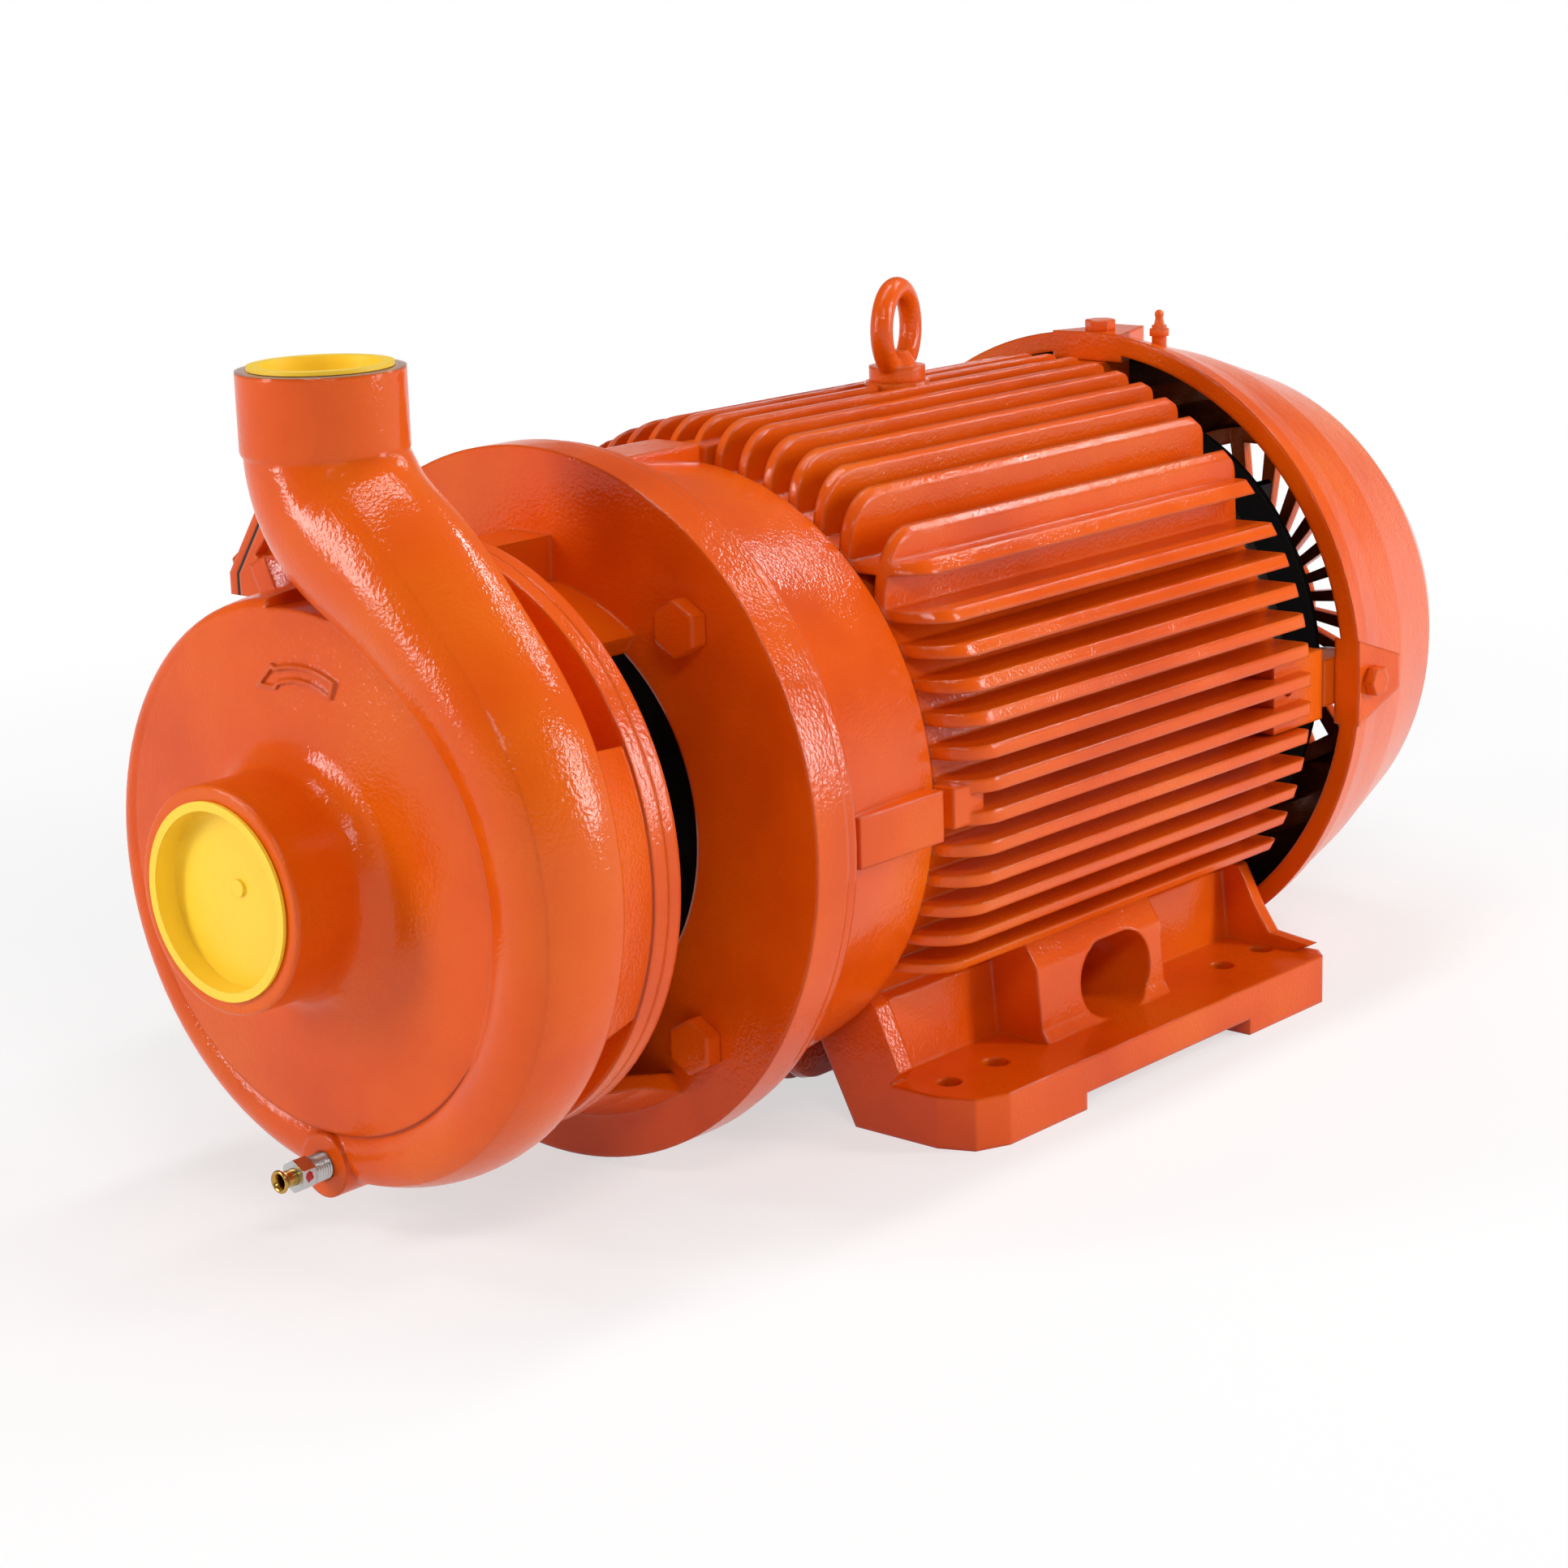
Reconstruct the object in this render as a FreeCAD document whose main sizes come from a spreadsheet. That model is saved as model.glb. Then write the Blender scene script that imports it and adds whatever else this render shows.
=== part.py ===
import FreeCAD, Part
import math
import operator
import os

import Sketcher
from FreeCAD import Placement, Rotation, Vector

# Close-coupled centrifugal pump on a foot-mounted, finned, fan-cooled motor, in millimetres.
# The part's origin is the centre of the foot bolt pattern, on the plane that the feet stand on.
# Each piece is drawn in the shaft's frame: x is the station along the shaft, 0 at the motor's
# mounting face and positive towards the fan, y is towards the terminal box, z is up.

driving_sizes = {
    # the whole unit
    "shaft_height": 177.8,
    "flange_to_feet": 276.7,
    "face_gap": 0.3,
    "running_gap": 0.05,
    "bolt_gap": 0.5,
    # bracket between the pump and the motor
    "flange_radius": 176.4,
    "flange_thick": 22,
    "flange_mouth": 102,
    "flange_bolt_circle": 142.5,
    "flange_bolt": 8,
    "ring_radius": 145.5,
    "joint_station": -66,
    "bracket_ring_thick": 8,
    "bracket_mouth": 104,
    "bell_wall": 11,
    "bell_top_radius": 114,
    "bell_throat_radius": 126,
    "bell_throat_end": -40,
    "bell_low_radius": 156,
    "bell_half_angle": 36,
    "bell_rib_width": 29,
    "bell_rib_top": 135,
    # volute casing
    "outlet_station": -123.8,
    "scroll_back_station": -110,
    "scroll_root": 116,
    "scroll_start_radius": 129,
    "scroll_end_radius": 166.5,
    "scroll_start_depth": 20,
    "scroll_end_depth": 26.5,
    "casing_wall": 7,
    "face_radius": 123,
    "face_rim_station": -150,
    "face_hub_station": -157,
    "hub_station": -202.2,
    "hub_radius": 52.6,
    "hub_round": 15,
    "hub_edge_round": 1.5,
    "suction_bore": 43.8,
    "suction_thread_depth": 36,
    "eye_radius": 39,
    "chamber_radius": 107,
    "chamber_station": -143,
    "register_radius": 118,
    "register_station": -84,
    "casing_ring_thick": 9,
    "casing_band_radius": 148,
    "casing_bolt_circle": 131,
    "casing_bolt": 5,
    "casing_bolt_count": 8,
    "collar_top": 227.8,
    "collar_low": 188.6,
    "collar_radius": 38.2,
    "collar_round": 4,
    "outlet_bore": 29.6,
    "outlet_thread_depth": 26,
    "drain_drop": 139.3,
    "drain_boss_radius": 15.5,
    "drain_boss_station": -152,
    "drain_bore": 6.7,
    "arrow_radius": 93,
    "arrow_line": 1.8,
    "arrow_height": 1.6,
    # port caps
    "cap_rim_height": 1.8,
    "cap_wall": 2.2,
    "cap_skirt": 16,
    "suction_cap_radius": 45.7,
    "suction_cap_recess": 9,
    "outlet_cap_radius": 32.9,
    "outlet_cap_recess": 7,
    "cap_nub": 4,
    # drain cock
    "nipple_length": 10.5,
    "nipple_bore": 3,
    "nut_flats": 14,
    "nut_length": 8,
    "nozzle_length": 9,
    "nozzle_neck": 4,
    "nozzle_flare": 5.6,
    # impeller and shaft end
    "impeller_radius": 101.6,
    "impeller_front_station": -139,
    "impeller_rim_station": -132,
    "impeller_back_station": -116,
    "impeller_plate": 4,
    "impeller_eye": 37,
    "impeller_hub": 24,
    "impeller_hub_end": -98,
    "vane_count": 6,
    "vane_thick": 4,
    "vane_wrap": 34,
    "wear_ring_wall": 4,
    "wear_ring_sink": 4,
    "nose_station": -133,
    "screw_head": 11,
    "screw_head_length": 8,
    "screw_radius": 6,
    "screw_depth": 26,
    "washer_radius": 17,
    "washer_thick": 3,
    "key_width": 6,
    "key_length": 24,
    "key_height": 6,
    # shaft
    "nose_radius": 14.3,
    "sleeve_radius": 16,
    "sleeve_end": -18,
    "neck_radius": 20,
    "drive_seat": 25,
    "shoulder_radius": 30,
    "shoulder_width": 8,
    "core_seat": 32,
    "fan_seat": 20,
    "tail_radius": 17,
    "tail_end": 506,
    # shaft seal
    "gasket_thick": 1,
    "seal_plate_bore": 18,
    "seat_radius": 26,
    "seat_thick": 9,
    "seal_head_radius": 23,
    "seal_head_station": -86,
    "seal_head_length": 9,
    "slinger_radius": 42,
    "slinger_thick": 5,
    "slinger_station": -12,
    # bearings
    "drive_bearing_radius": 55,
    "drive_bearing_width": 27,
    "drive_bearing_station": 40,
    "fan_bearing_radius": 45,
    "fan_bearing_width": 23,
    "fan_bearing_station": 432,
    "ball_count": 8,
    # motor ends
    "shield_rim_radius": 175,
    "shield_rim_end": 29,
    "shield_web": 9,
    "shield_hub_wall": 10,
    "spigot_length": 12,
    "cap_thick": 9,
    "cap_screw": 4,
    "cap_screw_circle": 70,
    "cap_screw_turn": 241.3,
    "shield_bolt_circle": 141,
    "shield_bolt": 4,
    "fan_shield_station": 417,
    # frame
    "frame_bore": 133,
    "barrel_radius": 149,
    "nose_band_radius": 165,
    "nose_band_end": 110,
    "fin_front": 116,
    "fin_front_round": 24,
    "fin_end": 417,
    "fin_end_round": 6,
    "fin_tip_radius": 174,
    "fin_tip": 4,
    "fin_foot": 7,
    "top_fin_pitch": 16.3,
    "top_fin_pairs": 6,
    "side_fin_pitch": 16,
    "side_fin_pairs": 6,
    "corner_fin_offset": 119,
    "corner_fin_height": 132,
    "corner_shelf_height": 110,
    "corner_shelf_reach": 139,
    "pad_face": 167,
    # feet
    "foot_length": 318,
    "foot_front": 116,
    "foot_half_width": 174.5,
    "foot_inner": 96,
    "foot_thick": 27,
    "foot_corner": 26,
    "foot_hole": 6.75,
    "foot_hole_half": 139.7,
    "foot_hole_near": 101.6,
    "foot_arch": 9,
    "foot_arch_front": 206,
    "foot_arch_end": 354,
    "leg_wall": 12,
    "leg_bulge_face": 141,
    "leg_bulge_front": 213,
    "leg_bulge_end": 322,
    "leg_window_width": 62,
    "leg_window_height": 41,
    # rear lugs
    "lug_front": 390,
    "lug_end": 438,
    "lug_half": 19.5,
    # eyebolt
    "eye_station": 278,
    "eye_boss_radius": 17,
    "eye_seat": 175,
    "eye_collar_radius": 15,
    "eye_collar_height": 8,
    "eye_ring_radius": 21,
    "eye_ring_wire": 6,
    "eye_ring_height": 27.5,
    "eye_shank": 6,
    "eye_shank_length": 18,
    "eye_turn": 18,
    # stator and rotor
    "stator_front": 140,
    "stator_length": 220,
    "stator_bore": 82,
    "coil_overhang": 38,
    "coil_inner": 88,
    "coil_outer": 124,
    "air_gap": 0.6,
    "end_ring_width": 14,
    "end_ring_inner": 60,
    # fan and cowl
    "fan_station": 468,
    "fan_plate": 4,
    "fan_radius": 142,
    "fan_blade_width": 34,
    "fan_blade_thick": 3,
    "fan_blade_count": 8,
    "fan_hub": 30,
    "fan_hub_length": 30,
    "cowl_front": 448.2,
    "cowl_radius": 182.6,
    "cowl_wall": 8,
    "cowl_waist": 166,
    "cowl_end": 627,
    "cowl_end_radius": 118,
    "cowl_hub": 40,
    "grille_bars": 24,
    "grille_slot": 8,
    "grille_reach": 96,
    "grease_station": 468,
    "grease_side": -36,
    "grease_radius": 4.2,
    "cowl_ear_half": 24,
    "cowl_ear_face": 182,
    "cowl_ear_station": 461,
    "cowl_bolt": 5,
    "arm_half": 13,
    "arm_top": 166,
    # terminal box
    "box_front": 52,
    "box_length": 93,
    "box_reach": 288,
    "box_low": 66,
    "box_top": 126,
    "box_slope": 33,
    "box_wall": 5,
    "box_root": 168,
    "cover_thick": 6,
    "gasket_sheet": 2,
    "gland_radius": 16,
    "cover_screw": 2.5,
    "screw_reach": 16,
    "box_end_wall": 11,
    "box_lip": 12,
    "box_recess": 7,
    "barrier_count": 4,
    "barrier_pitch": 17,
}

doc = FreeCAD.newDocument("centrifugal_pump")
sheet = doc.addObject("Spreadsheet::Sheet", "Sizes")
for row, (alias, number) in enumerate(driving_sizes.items(), start=1):
    sheet.set(f"A{row}", alias.replace("_", " "))
    sheet.set(f"B{row}", str(number))
    sheet.setAlias(f"B{row}", alias)
doc.recompute()


class Size:
    """A number that remembers the sheet expression it comes from."""

    def __init__(self, number, formula=None):
        self.number = float(number)
        self.formula = formula or repr(float(number))

    def __float__(self):
        return self.number

    def __add__(self, other):
        return combined(self, other, "+")

    def __radd__(self, other):
        return combined(other, self, "+")

    def __sub__(self, other):
        return combined(self, other, "-")

    def __rsub__(self, other):
        return combined(other, self, "-")

    def __mul__(self, other):
        return combined(self, other, "*")

    def __rmul__(self, other):
        return combined(other, self, "*")

    def __truediv__(self, other):
        return combined(self, other, "/")

    def __neg__(self):
        return combined(0, self, "-")


signs = {"+": operator.add, "-": operator.sub, "*": operator.mul, "/": operator.truediv}


def as_size(value):
    return value if isinstance(value, Size) else Size(value)


def combined(left, right, sign):
    left, right = as_size(left), as_size(right)
    number = signs[sign](left.number, right.number)
    return Size(number, f"({left.formula} {sign} {right.formula})")


class Sheet:
    """The sheet's cells by name: d.hub_radius is the size called hub_radius."""

    def __getattr__(self, alias):
        return Size(sheet.get(alias), f"Sizes.{alias}")


d = Sheet()
nodes = []


def bind(thing, property_name, value):
    thing.setExpression(property_name, as_size(value).formula)


def on_shaft(thing):
    """Puts a piece's own frame on the shaft axis at the mounting face."""
    thing.Placement = Placement(Vector(-float(d.flange_to_feet), 0, float(d.shaft_height)), Rotation())
    bind(thing, "Placement.Base.x", -d.flange_to_feet)
    bind(thing, "Placement.Base.z", d.shaft_height)


def new_body(label):
    body = doc.addObject("PartDesign::Body", label)
    body.Label = label
    on_shaft(body)
    nodes.append(body)
    return body


def new_sketch(body, plane, offset=0):
    sketch = body.newObject("Sketcher::SketchObject", f"{body.Label}_sketch")
    origin_plane = [item for item in body.Origin.OriginFeatures if item.Role == plane][0]
    sketch.AttachmentSupport = [(origin_plane, "")]
    sketch.MapMode = "FlatFace"
    bind(sketch, "AttachmentOffset.Base.z", offset)
    return sketch


def place_point(sketch, geometry, point, x, y):
    for kind, value in (("DistanceX", x), ("DistanceY", y)):
        value = as_size(value)
        index = sketch.addConstraint(Sketcher.Constraint(kind, -1, 1, geometry, point, value.number))
        sketch.setExpression(f"Constraints[{index}]", value.formula)


def draw_outline(sketch, points):
    first = sketch.GeometryCount
    ends = points[1:] + points[:1]
    for start, end in zip(points, ends):
        line = Part.LineSegment(Vector(float(as_size(start[0])), float(as_size(start[1])), 0),
                                Vector(float(as_size(end[0])), float(as_size(end[1])), 0))
        sketch.addGeometry(line, False)
    for place in range(len(points)):
        after = first + (place + 1) % len(points)
        sketch.addConstraint(Sketcher.Constraint("Coincident", first + place, 2, after, 1))
    for place, (x, y) in enumerate(points):
        place_point(sketch, first + place, 1, x, y)


def draw_circle(sketch, x, y, radius):
    x, y, radius = as_size(x), as_size(y), as_size(radius)
    circle = Part.Circle(Vector(x.number, y.number, 0), Vector(0, 0, 1), radius.number)
    index = sketch.addGeometry(circle, False)
    place_point(sketch, index, 3, x, y)
    size_index = sketch.addConstraint(Sketcher.Constraint("Radius", index, radius.number))
    sketch.setExpression(f"Constraints[{size_index}]", radius.formula)


def feature(body, kind, name, sketch):
    made = body.newObject(f"PartDesign::{kind}", f"{body.Label}_{name}")
    made.Profile = sketch
    return made


def turn(body, name, profile, angle=360, cut=False, plane="XZ_Plane"):
    """Turns a profile of (station, radius) points round the shaft axis."""
    sketch = new_sketch(body, plane)
    draw_outline(sketch, profile)
    made = feature(body, "Groove" if cut else "Revolution", name, sketch)
    made.ReferenceAxis = (sketch, ["H_Axis"])
    bind(made, "Angle", angle)
    made.Midplane = True
    doc.recompute()
    return made


def raise_pad(body, name, plane, offset, draw, length, symmetric=False, cut=False, back=False):
    """Raises or cuts a flat outline that stands on one of the body's own planes."""
    sketch = new_sketch(body, plane, offset)
    draw(sketch)
    made = feature(body, "Pocket" if cut else "Pad", name, sketch)
    bind(made, "Length", length)
    made.SideType = "Symmetric" if symmetric else "One side"
    made.Reversed = back
    doc.recompute()
    return made


def drill(body, name, station, y, z, radius, depth):
    """Drills towards the fan from a station; the depth is checked by the volume it takes."""
    before = body.Shape.Volume
    made = raise_pad(body, name, "YZ_Plane", station, lambda s: draw_circle(s, y, z, radius), depth,
                     cut=True, back=True)
    assert body.Shape.Volume < before - 1, f"{made.Label} took nothing away"
    return made


def repeat(body, made, count):
    pattern = body.newObject("PartDesign::PolarPattern", f"{made.Label}_ring")
    pattern.Originals = [made]
    pattern.Axis = ([item for item in body.Origin.OriginFeatures if item.Role == "X_Axis"][0], [""])
    bind(pattern, "Occurrences", count)
    body.Tip = pattern
    doc.recompute()
    return pattern


def new_feature(label, shape):
    """A piece whose shape is worked out from the sheet by Part's own functions."""
    made = doc.addObject("Part::Feature", label)
    made.Label = label
    made.Shape = Part.makeCompound(shape.Solids)
    on_shaft(made)
    nodes.append(made)
    return made


def tube(station, length, outer, inner=0.0):
    whole = Part.makeCylinder(float(outer), float(length), Vector(float(station), 0, 0), Vector(1, 0, 0))
    if float(inner) == 0:
        return whole
    hole = Part.makeCylinder(float(inner), float(length), Vector(float(station), 0, 0), Vector(1, 0, 0))
    return whole.cut(hole)


def turned_shape(profile, angle=360.0, start=0.0):
    """Solid of (station, radius) points turned round the shaft axis, from an angle off straight up."""
    points = [Vector(float(x), 0, float(r)) for x, r in profile]
    face = Part.Face(Part.makePolygon(points + points[:1]))
    face.rotate(Vector(), Vector(-1, 0, 0), start)
    return face.revolve(Vector(), Vector(-1, 0, 0), angle)


def turned_round(corners):
    """Solid turned round the shaft from (station, radius, rounding) corners; rounding 0 keeps it sharp."""
    spots = [Vector(float(x), 0, float(r)) for x, r, rounding in corners]
    starts, ends, arcs = [], [], []
    for place, here in enumerate(spots):
        rounding = float(corners[place][2])
        back = (spots[place - 1] - here).normalize()
        ahead = (spots[(place + 1) % len(spots)] - here).normalize()
        half = back.getAngle(ahead) / 2
        reach = rounding / math.tan(half)
        inward = (back + ahead).normalize() if rounding else Vector()
        middle = here + inward * (rounding / math.sin(half) - rounding)
        starts.append(here + back * reach)
        ends.append(here + ahead * reach)
        arcs.append(Part.Arc(starts[-1], middle, ends[-1]).toShape() if rounding else None)
    edges = []
    for place, arc in enumerate(arcs):
        edges.append(Part.makeLine(ends[place - 1], starts[place]))
        if arc:
            edges.append(arc)
    return Part.Face(Part.Wire(edges)).revolve(Vector(), Vector(-1, 0, 0), 360)


def prism_x(points, station, length):
    corners = [Vector(float(station), float(y), float(z)) for y, z in points]
    return Part.Face(Part.makePolygon(corners + corners[:1])).extrude(Vector(float(length), 0, 0))


def prism_z(points, low, height):
    corners = [Vector(float(x), float(y), float(low)) for x, y in points]
    return Part.Face(Part.makePolygon(corners + corners[:1])).extrude(Vector(0, 0, float(height)))


def block(x0, x1, y0, y1, z0, z1):
    x0, x1, y0, y1, z0, z1 = (float(value) for value in (x0, x1, y0, y1, z0, z1))
    return Part.makeBox(x1 - x0, y1 - y0, z1 - z0, Vector(x0, y0, z0))


def hex_prism(across_flats, height, base, direction):
    """Six-sided prism that stands on base and points along direction."""
    corner = float(across_flats) / math.sqrt(3)
    points = [Vector(corner * math.cos(math.radians(60 * turn_)),
                     corner * math.sin(math.radians(60 * turn_)), 0) for turn_ in range(6)]
    prism = Part.Face(Part.makePolygon(points + points[:1])).extrude(Vector(0, 0, float(height)))
    chamfer = Part.makeCone(corner + float(height) * 0.9, corner * 0.9, float(height) * 1.05)
    prism = prism.common(chamfer)
    prism.Placement = Placement(base, Rotation(Vector(0, 0, 1), direction))
    return prism


def hex_bolt(seat, direction, radius, length):
    """Hex bolt: the head stands on seat along direction, the shank goes the other way."""
    head = hex_prism(3.0 * float(radius), 1.25 * float(radius), seat, direction)
    shank = Part.makeCylinder(float(radius), float(length), seat, -direction)
    return head.fuse(shank).removeSplitter()


def on_circle(radius, angle):
    """The y and z of a point on a circle round the shaft, at an angle off straight up."""
    turn_ = math.radians(angle)
    return radius * math.sin(turn_), radius * math.cos(turn_)


def polar_point(station, radius, angle):
    """Point at a station and a radius, at an angle off straight up towards the terminal box."""
    turn_ = math.radians(float(angle))
    return Vector(float(station), float(radius) * math.sin(turn_), float(radius) * math.cos(turn_))


# Stations that follow from the sizes above.
bracket_back = d.joint_station + d.bracket_ring_thick
seal_plate_front = d.register_station + d.gasket_thick
drive_bearing_end = d.drive_bearing_station + d.drive_bearing_width
fan_bearing_end = d.fan_bearing_station + d.fan_bearing_width
stator_end = d.stator_front + d.stator_length
foot_low = -d.shaft_height
ring_inner = d.impeller_eye + d.impeller_plate + d.face_gap
ring_outer = ring_inner + d.wear_ring_wall
ring_seat = d.chamber_station - d.wear_ring_sink
ring_end = d.impeller_rim_station - d.impeller_plate - 1


# Volute casing: the scroll swells round the face, leaves it beside the camera and goes up
# through a swan neck to the discharge collar. One loft of four-arc sections makes it.
def scroll_radius(angle):
    """Outer radius of the scroll, growing evenly with the angle off straight up."""
    share = (angle - 8.0) / (300.0 - 8.0)
    return float(d.scroll_start_radius) + share * (float(d.scroll_end_radius) - float(d.scroll_start_radius))


def scroll_depth(angle):
    """Half the scroll's depth along the shaft; it deepens over the last third."""
    share = max(0.0, (angle - 200.0) / 100.0)
    return float(d.scroll_start_depth) + share * (float(d.scroll_end_depth) - float(d.scroll_start_depth))


def section_wire(centre, heading, half_width, half_depth, squareness):
    """Four arcs round a section. Squareness 1 has the scroll's sharp back corners, 0 is a circle."""
    outward = Vector(0, -math.cos(heading), math.sin(heading))
    forward = Vector(-1, 0, 0)
    back_corner = 0.7071 + 0.25 * squareness
    front_corner = 0.7071 + 0.03 * squareness

    def spot(across, along):
        return centre + outward * (across * half_width) + forward * (along * half_depth)

    ring = [spot(back_corner, -back_corner), spot(1, -0.12 * squareness), spot(front_corner, front_corner),
            spot(0, 1), spot(-front_corner, front_corner), spot(-1, -0.12 * squareness),
            spot(-back_corner, -back_corner), spot(0, -1)]
    arcs = [Part.Arc(ring[place], ring[place + 1], ring[(place + 2) % 8]).toShape() for place in (0, 2, 4, 6)]
    return Part.Wire(arcs)


def scroll_stations(first_angle):
    """Section places from a first angle to the collar: centre, heading, half width, depth, squareness."""
    places = []
    angle = first_angle
    while angle <= 300:
        outer = scroll_radius(angle)
        half_width = (outer - float(d.scroll_root)) / 2
        depth = scroll_depth(angle)
        centre = polar_point(float(d.scroll_back_station) - depth, outer - half_width, angle)
        places.append((centre, math.radians(angle - 270), half_width, depth, 1.0))
        angle += 29.2
    return places


def neck_stations():
    """The swan neck, as shares of the collar's place: out of the scroll, over, and straight up."""
    station = float(d.outlet_station)
    back = float(d.scroll_back_station)
    top = float(d.collar_low)
    collar = float(d.collar_radius)
    depth = float(d.scroll_end_depth)
    rows = [
        # y, z, heading off straight up in degrees, half width, half depth, squareness
        (-2.25 * collar, 0.583 * top, 44, 0.75 * collar, depth * 1.1, 0.75),
        (-1.31 * collar, 0.732 * top, 52, 0.90 * collar, depth * 1.25, 0.45),
        (-0.58 * collar, 0.826 * top, 40, 1.00 * collar, depth * 1.35, 0.2),
        (-0.20 * collar, 0.912 * top, 20, 1.02 * collar, depth * 1.40, 0.05),
        (0.0, 1.02 * top, 0, 0.96 * collar, 0.96 * collar, 0.0),
    ]
    places = []
    for y, z, heading, half_width, half_depth, squareness in rows:
        centre = Vector(station + squareness * (back - depth - station), y, z)
        places.append((centre, math.radians(heading), half_width, half_depth, squareness))
    return places


def scroll_loft(first_angle, wall=0.0):
    wires = []
    for centre, heading, half_width, half_depth, squareness in scroll_stations(first_angle) + neck_stations():
        wires.append(section_wire(centre, heading, half_width - wall, half_depth - wall, squareness))
    return Part.makeLoft(wires, True, False)


def casing_outside():
    back_face = d.joint_station - d.casing_ring_thick
    shape = turned_round([
        (d.hub_station, 0, 0), (d.hub_station, d.hub_radius, d.hub_edge_round),
        (d.face_hub_station, d.hub_radius, d.hub_round), (d.face_rim_station, d.face_radius, 0),
        (back_face, d.face_radius, 0), (back_face, d.ring_radius, 0),
        (d.joint_station, d.ring_radius, 0), (d.joint_station, 0, 0)])
    shape = shape.fuse(scroll_loft(8.0))
    collar = Part.makeCylinder(float(d.collar_radius), float(d.collar_top - d.collar_low),
                               Vector(float(d.outlet_station), 0, float(d.collar_low)))
    lower_edge = [edge for edge in collar.Edges if edge.BoundBox.ZMax < float(d.collar_low) + 1]
    shape = shape.fuse(collar.makeFillet(float(d.collar_round), lower_edge))
    # filled band behind the scroll on the side and webs between the scroll and the ring
    band = [(d.scroll_back_station - 4, d.face_radius - 4), (d.scroll_back_station - 4, d.casing_band_radius + 6),
            (back_face + 1, d.casing_band_radius - 4), (back_face + 1, d.face_radius - 4)]
    shape = shape.fuse(turned_shape(band, 52.0, -116.0))
    web = [(d.scroll_back_station - 4, d.face_radius - 4), (d.scroll_back_station - 4, d.casing_band_radius),
           (back_face + 1, d.ring_radius - 3), (back_face + 1, d.face_radius - 4)]
    for angle in (-24.5, -160.5, 110, 66, 159, 23.5):
        shape = shape.fuse(turned_shape(web, 5.0, angle))
    boss = Part.makeCylinder(float(d.drain_boss_radius),
                             float(d.scroll_back_station - d.drain_boss_station) * 0.7,
                             Vector(float(d.drain_boss_station), 0, -float(d.drain_drop)), Vector(1, 0, 0))
    return shape.fuse(boss)


def rotation_arrow():
    """Raised outline of a bent arrow on the casing's face that shows which way the impeller turns."""
    reach = float(d.arrow_radius)
    outwards = (reach - float(d.hub_radius)) / float(d.face_radius - d.hub_radius)
    face = float(d.face_hub_station) + outwards * float(d.face_rim_station - d.face_hub_station)
    base = face - float(d.arrow_height)

    def spot(y, rise):
        return Vector(base, y, reach + rise)

    head = [spot(7, -4.6), spot(9, -7), spot(23, -6.8), spot(11, 5), spot(9, 3.5)]
    tail = [spot(-31, 1), spot(-28, -7.1), spot(-24, -6.2)]
    edges = [Part.makeLine(one, two) for one, two in zip(head, head[1:])]
    edges.append(Part.Arc(head[-1], spot(-9, 6), tail[0]).toShape())
    edges += [Part.makeLine(one, two) for one, two in zip(tail, tail[1:])]
    edges.append(Part.Arc(tail[-1], spot(-8, -2.2), head[0]).toShape())
    whole = Part.Face(Part.Wire(edges))
    inner = whole.makeOffset2D(-float(d.arrow_line))
    return whole.cut(inner).extrude(Vector(10, 0, 0))


def casing_inside():
    slot_front = d.outlet_station - d.impeller_plate - 9
    slot_end = d.outlet_station + d.impeller_plate + 9
    hole = tube(d.hub_station - 1, d.suction_thread_depth + 1, d.suction_bore)
    hole = hole.fuse(tube(d.hub_station, d.chamber_station - d.hub_station + 1, d.eye_radius))
    hole = hole.fuse(tube(d.chamber_station, d.joint_station - d.chamber_station + 1, d.chamber_radius))
    hole = hole.fuse(tube(d.register_station, d.joint_station - d.register_station + 1, d.register_radius))
    hole = hole.fuse(tube(ring_seat, d.wear_ring_sink + 1, ring_outer + d.running_gap))
    slot = [(slot_front, d.chamber_radius - 3), (slot_front, d.face_radius + 2),
            (slot_end, d.face_radius + 2), (slot_end, d.chamber_radius - 3)]
    hole = hole.fuse(turned_shape(slot, 255.0, 50.0))
    hole = hole.fuse(scroll_loft(154.0, float(d.casing_wall)))
    throat = Part.makeCylinder(float(d.outlet_bore) - 3, 40,
                               Vector(float(d.outlet_station), 0, float(d.collar_low) - 6))
    mouth = Part.makeCylinder(float(d.outlet_bore), float(d.outlet_thread_depth) + 1,
                              Vector(float(d.outlet_station), 0,
                                     float(d.collar_top - d.outlet_thread_depth)))
    drain = Part.makeCylinder(float(d.drain_bore), 30,
                              Vector(float(d.drain_boss_station) - 1, 0, -float(d.drain_drop)), Vector(1, 0, 0))
    return hole.fuse([throat, mouth, drain])


def volute_casing():
    shape = casing_outside().fuse(rotation_arrow())
    shape = shape.cut(casing_inside())
    back_face = d.joint_station - d.casing_ring_thick
    for place in range(int(driving_sizes["casing_bolt_count"])):
        angle = 22.5 + place * 360 / driving_sizes["casing_bolt_count"]
        spot = polar_point(back_face - 4, d.casing_bolt_circle, angle)
        shape = shape.cut(Part.makeCylinder(float(d.casing_bolt + d.running_gap), 30, spot, Vector(1, 0, 0)))
    return shape.removeSplitter()


new_feature("volute_casing", volute_casing())


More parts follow.
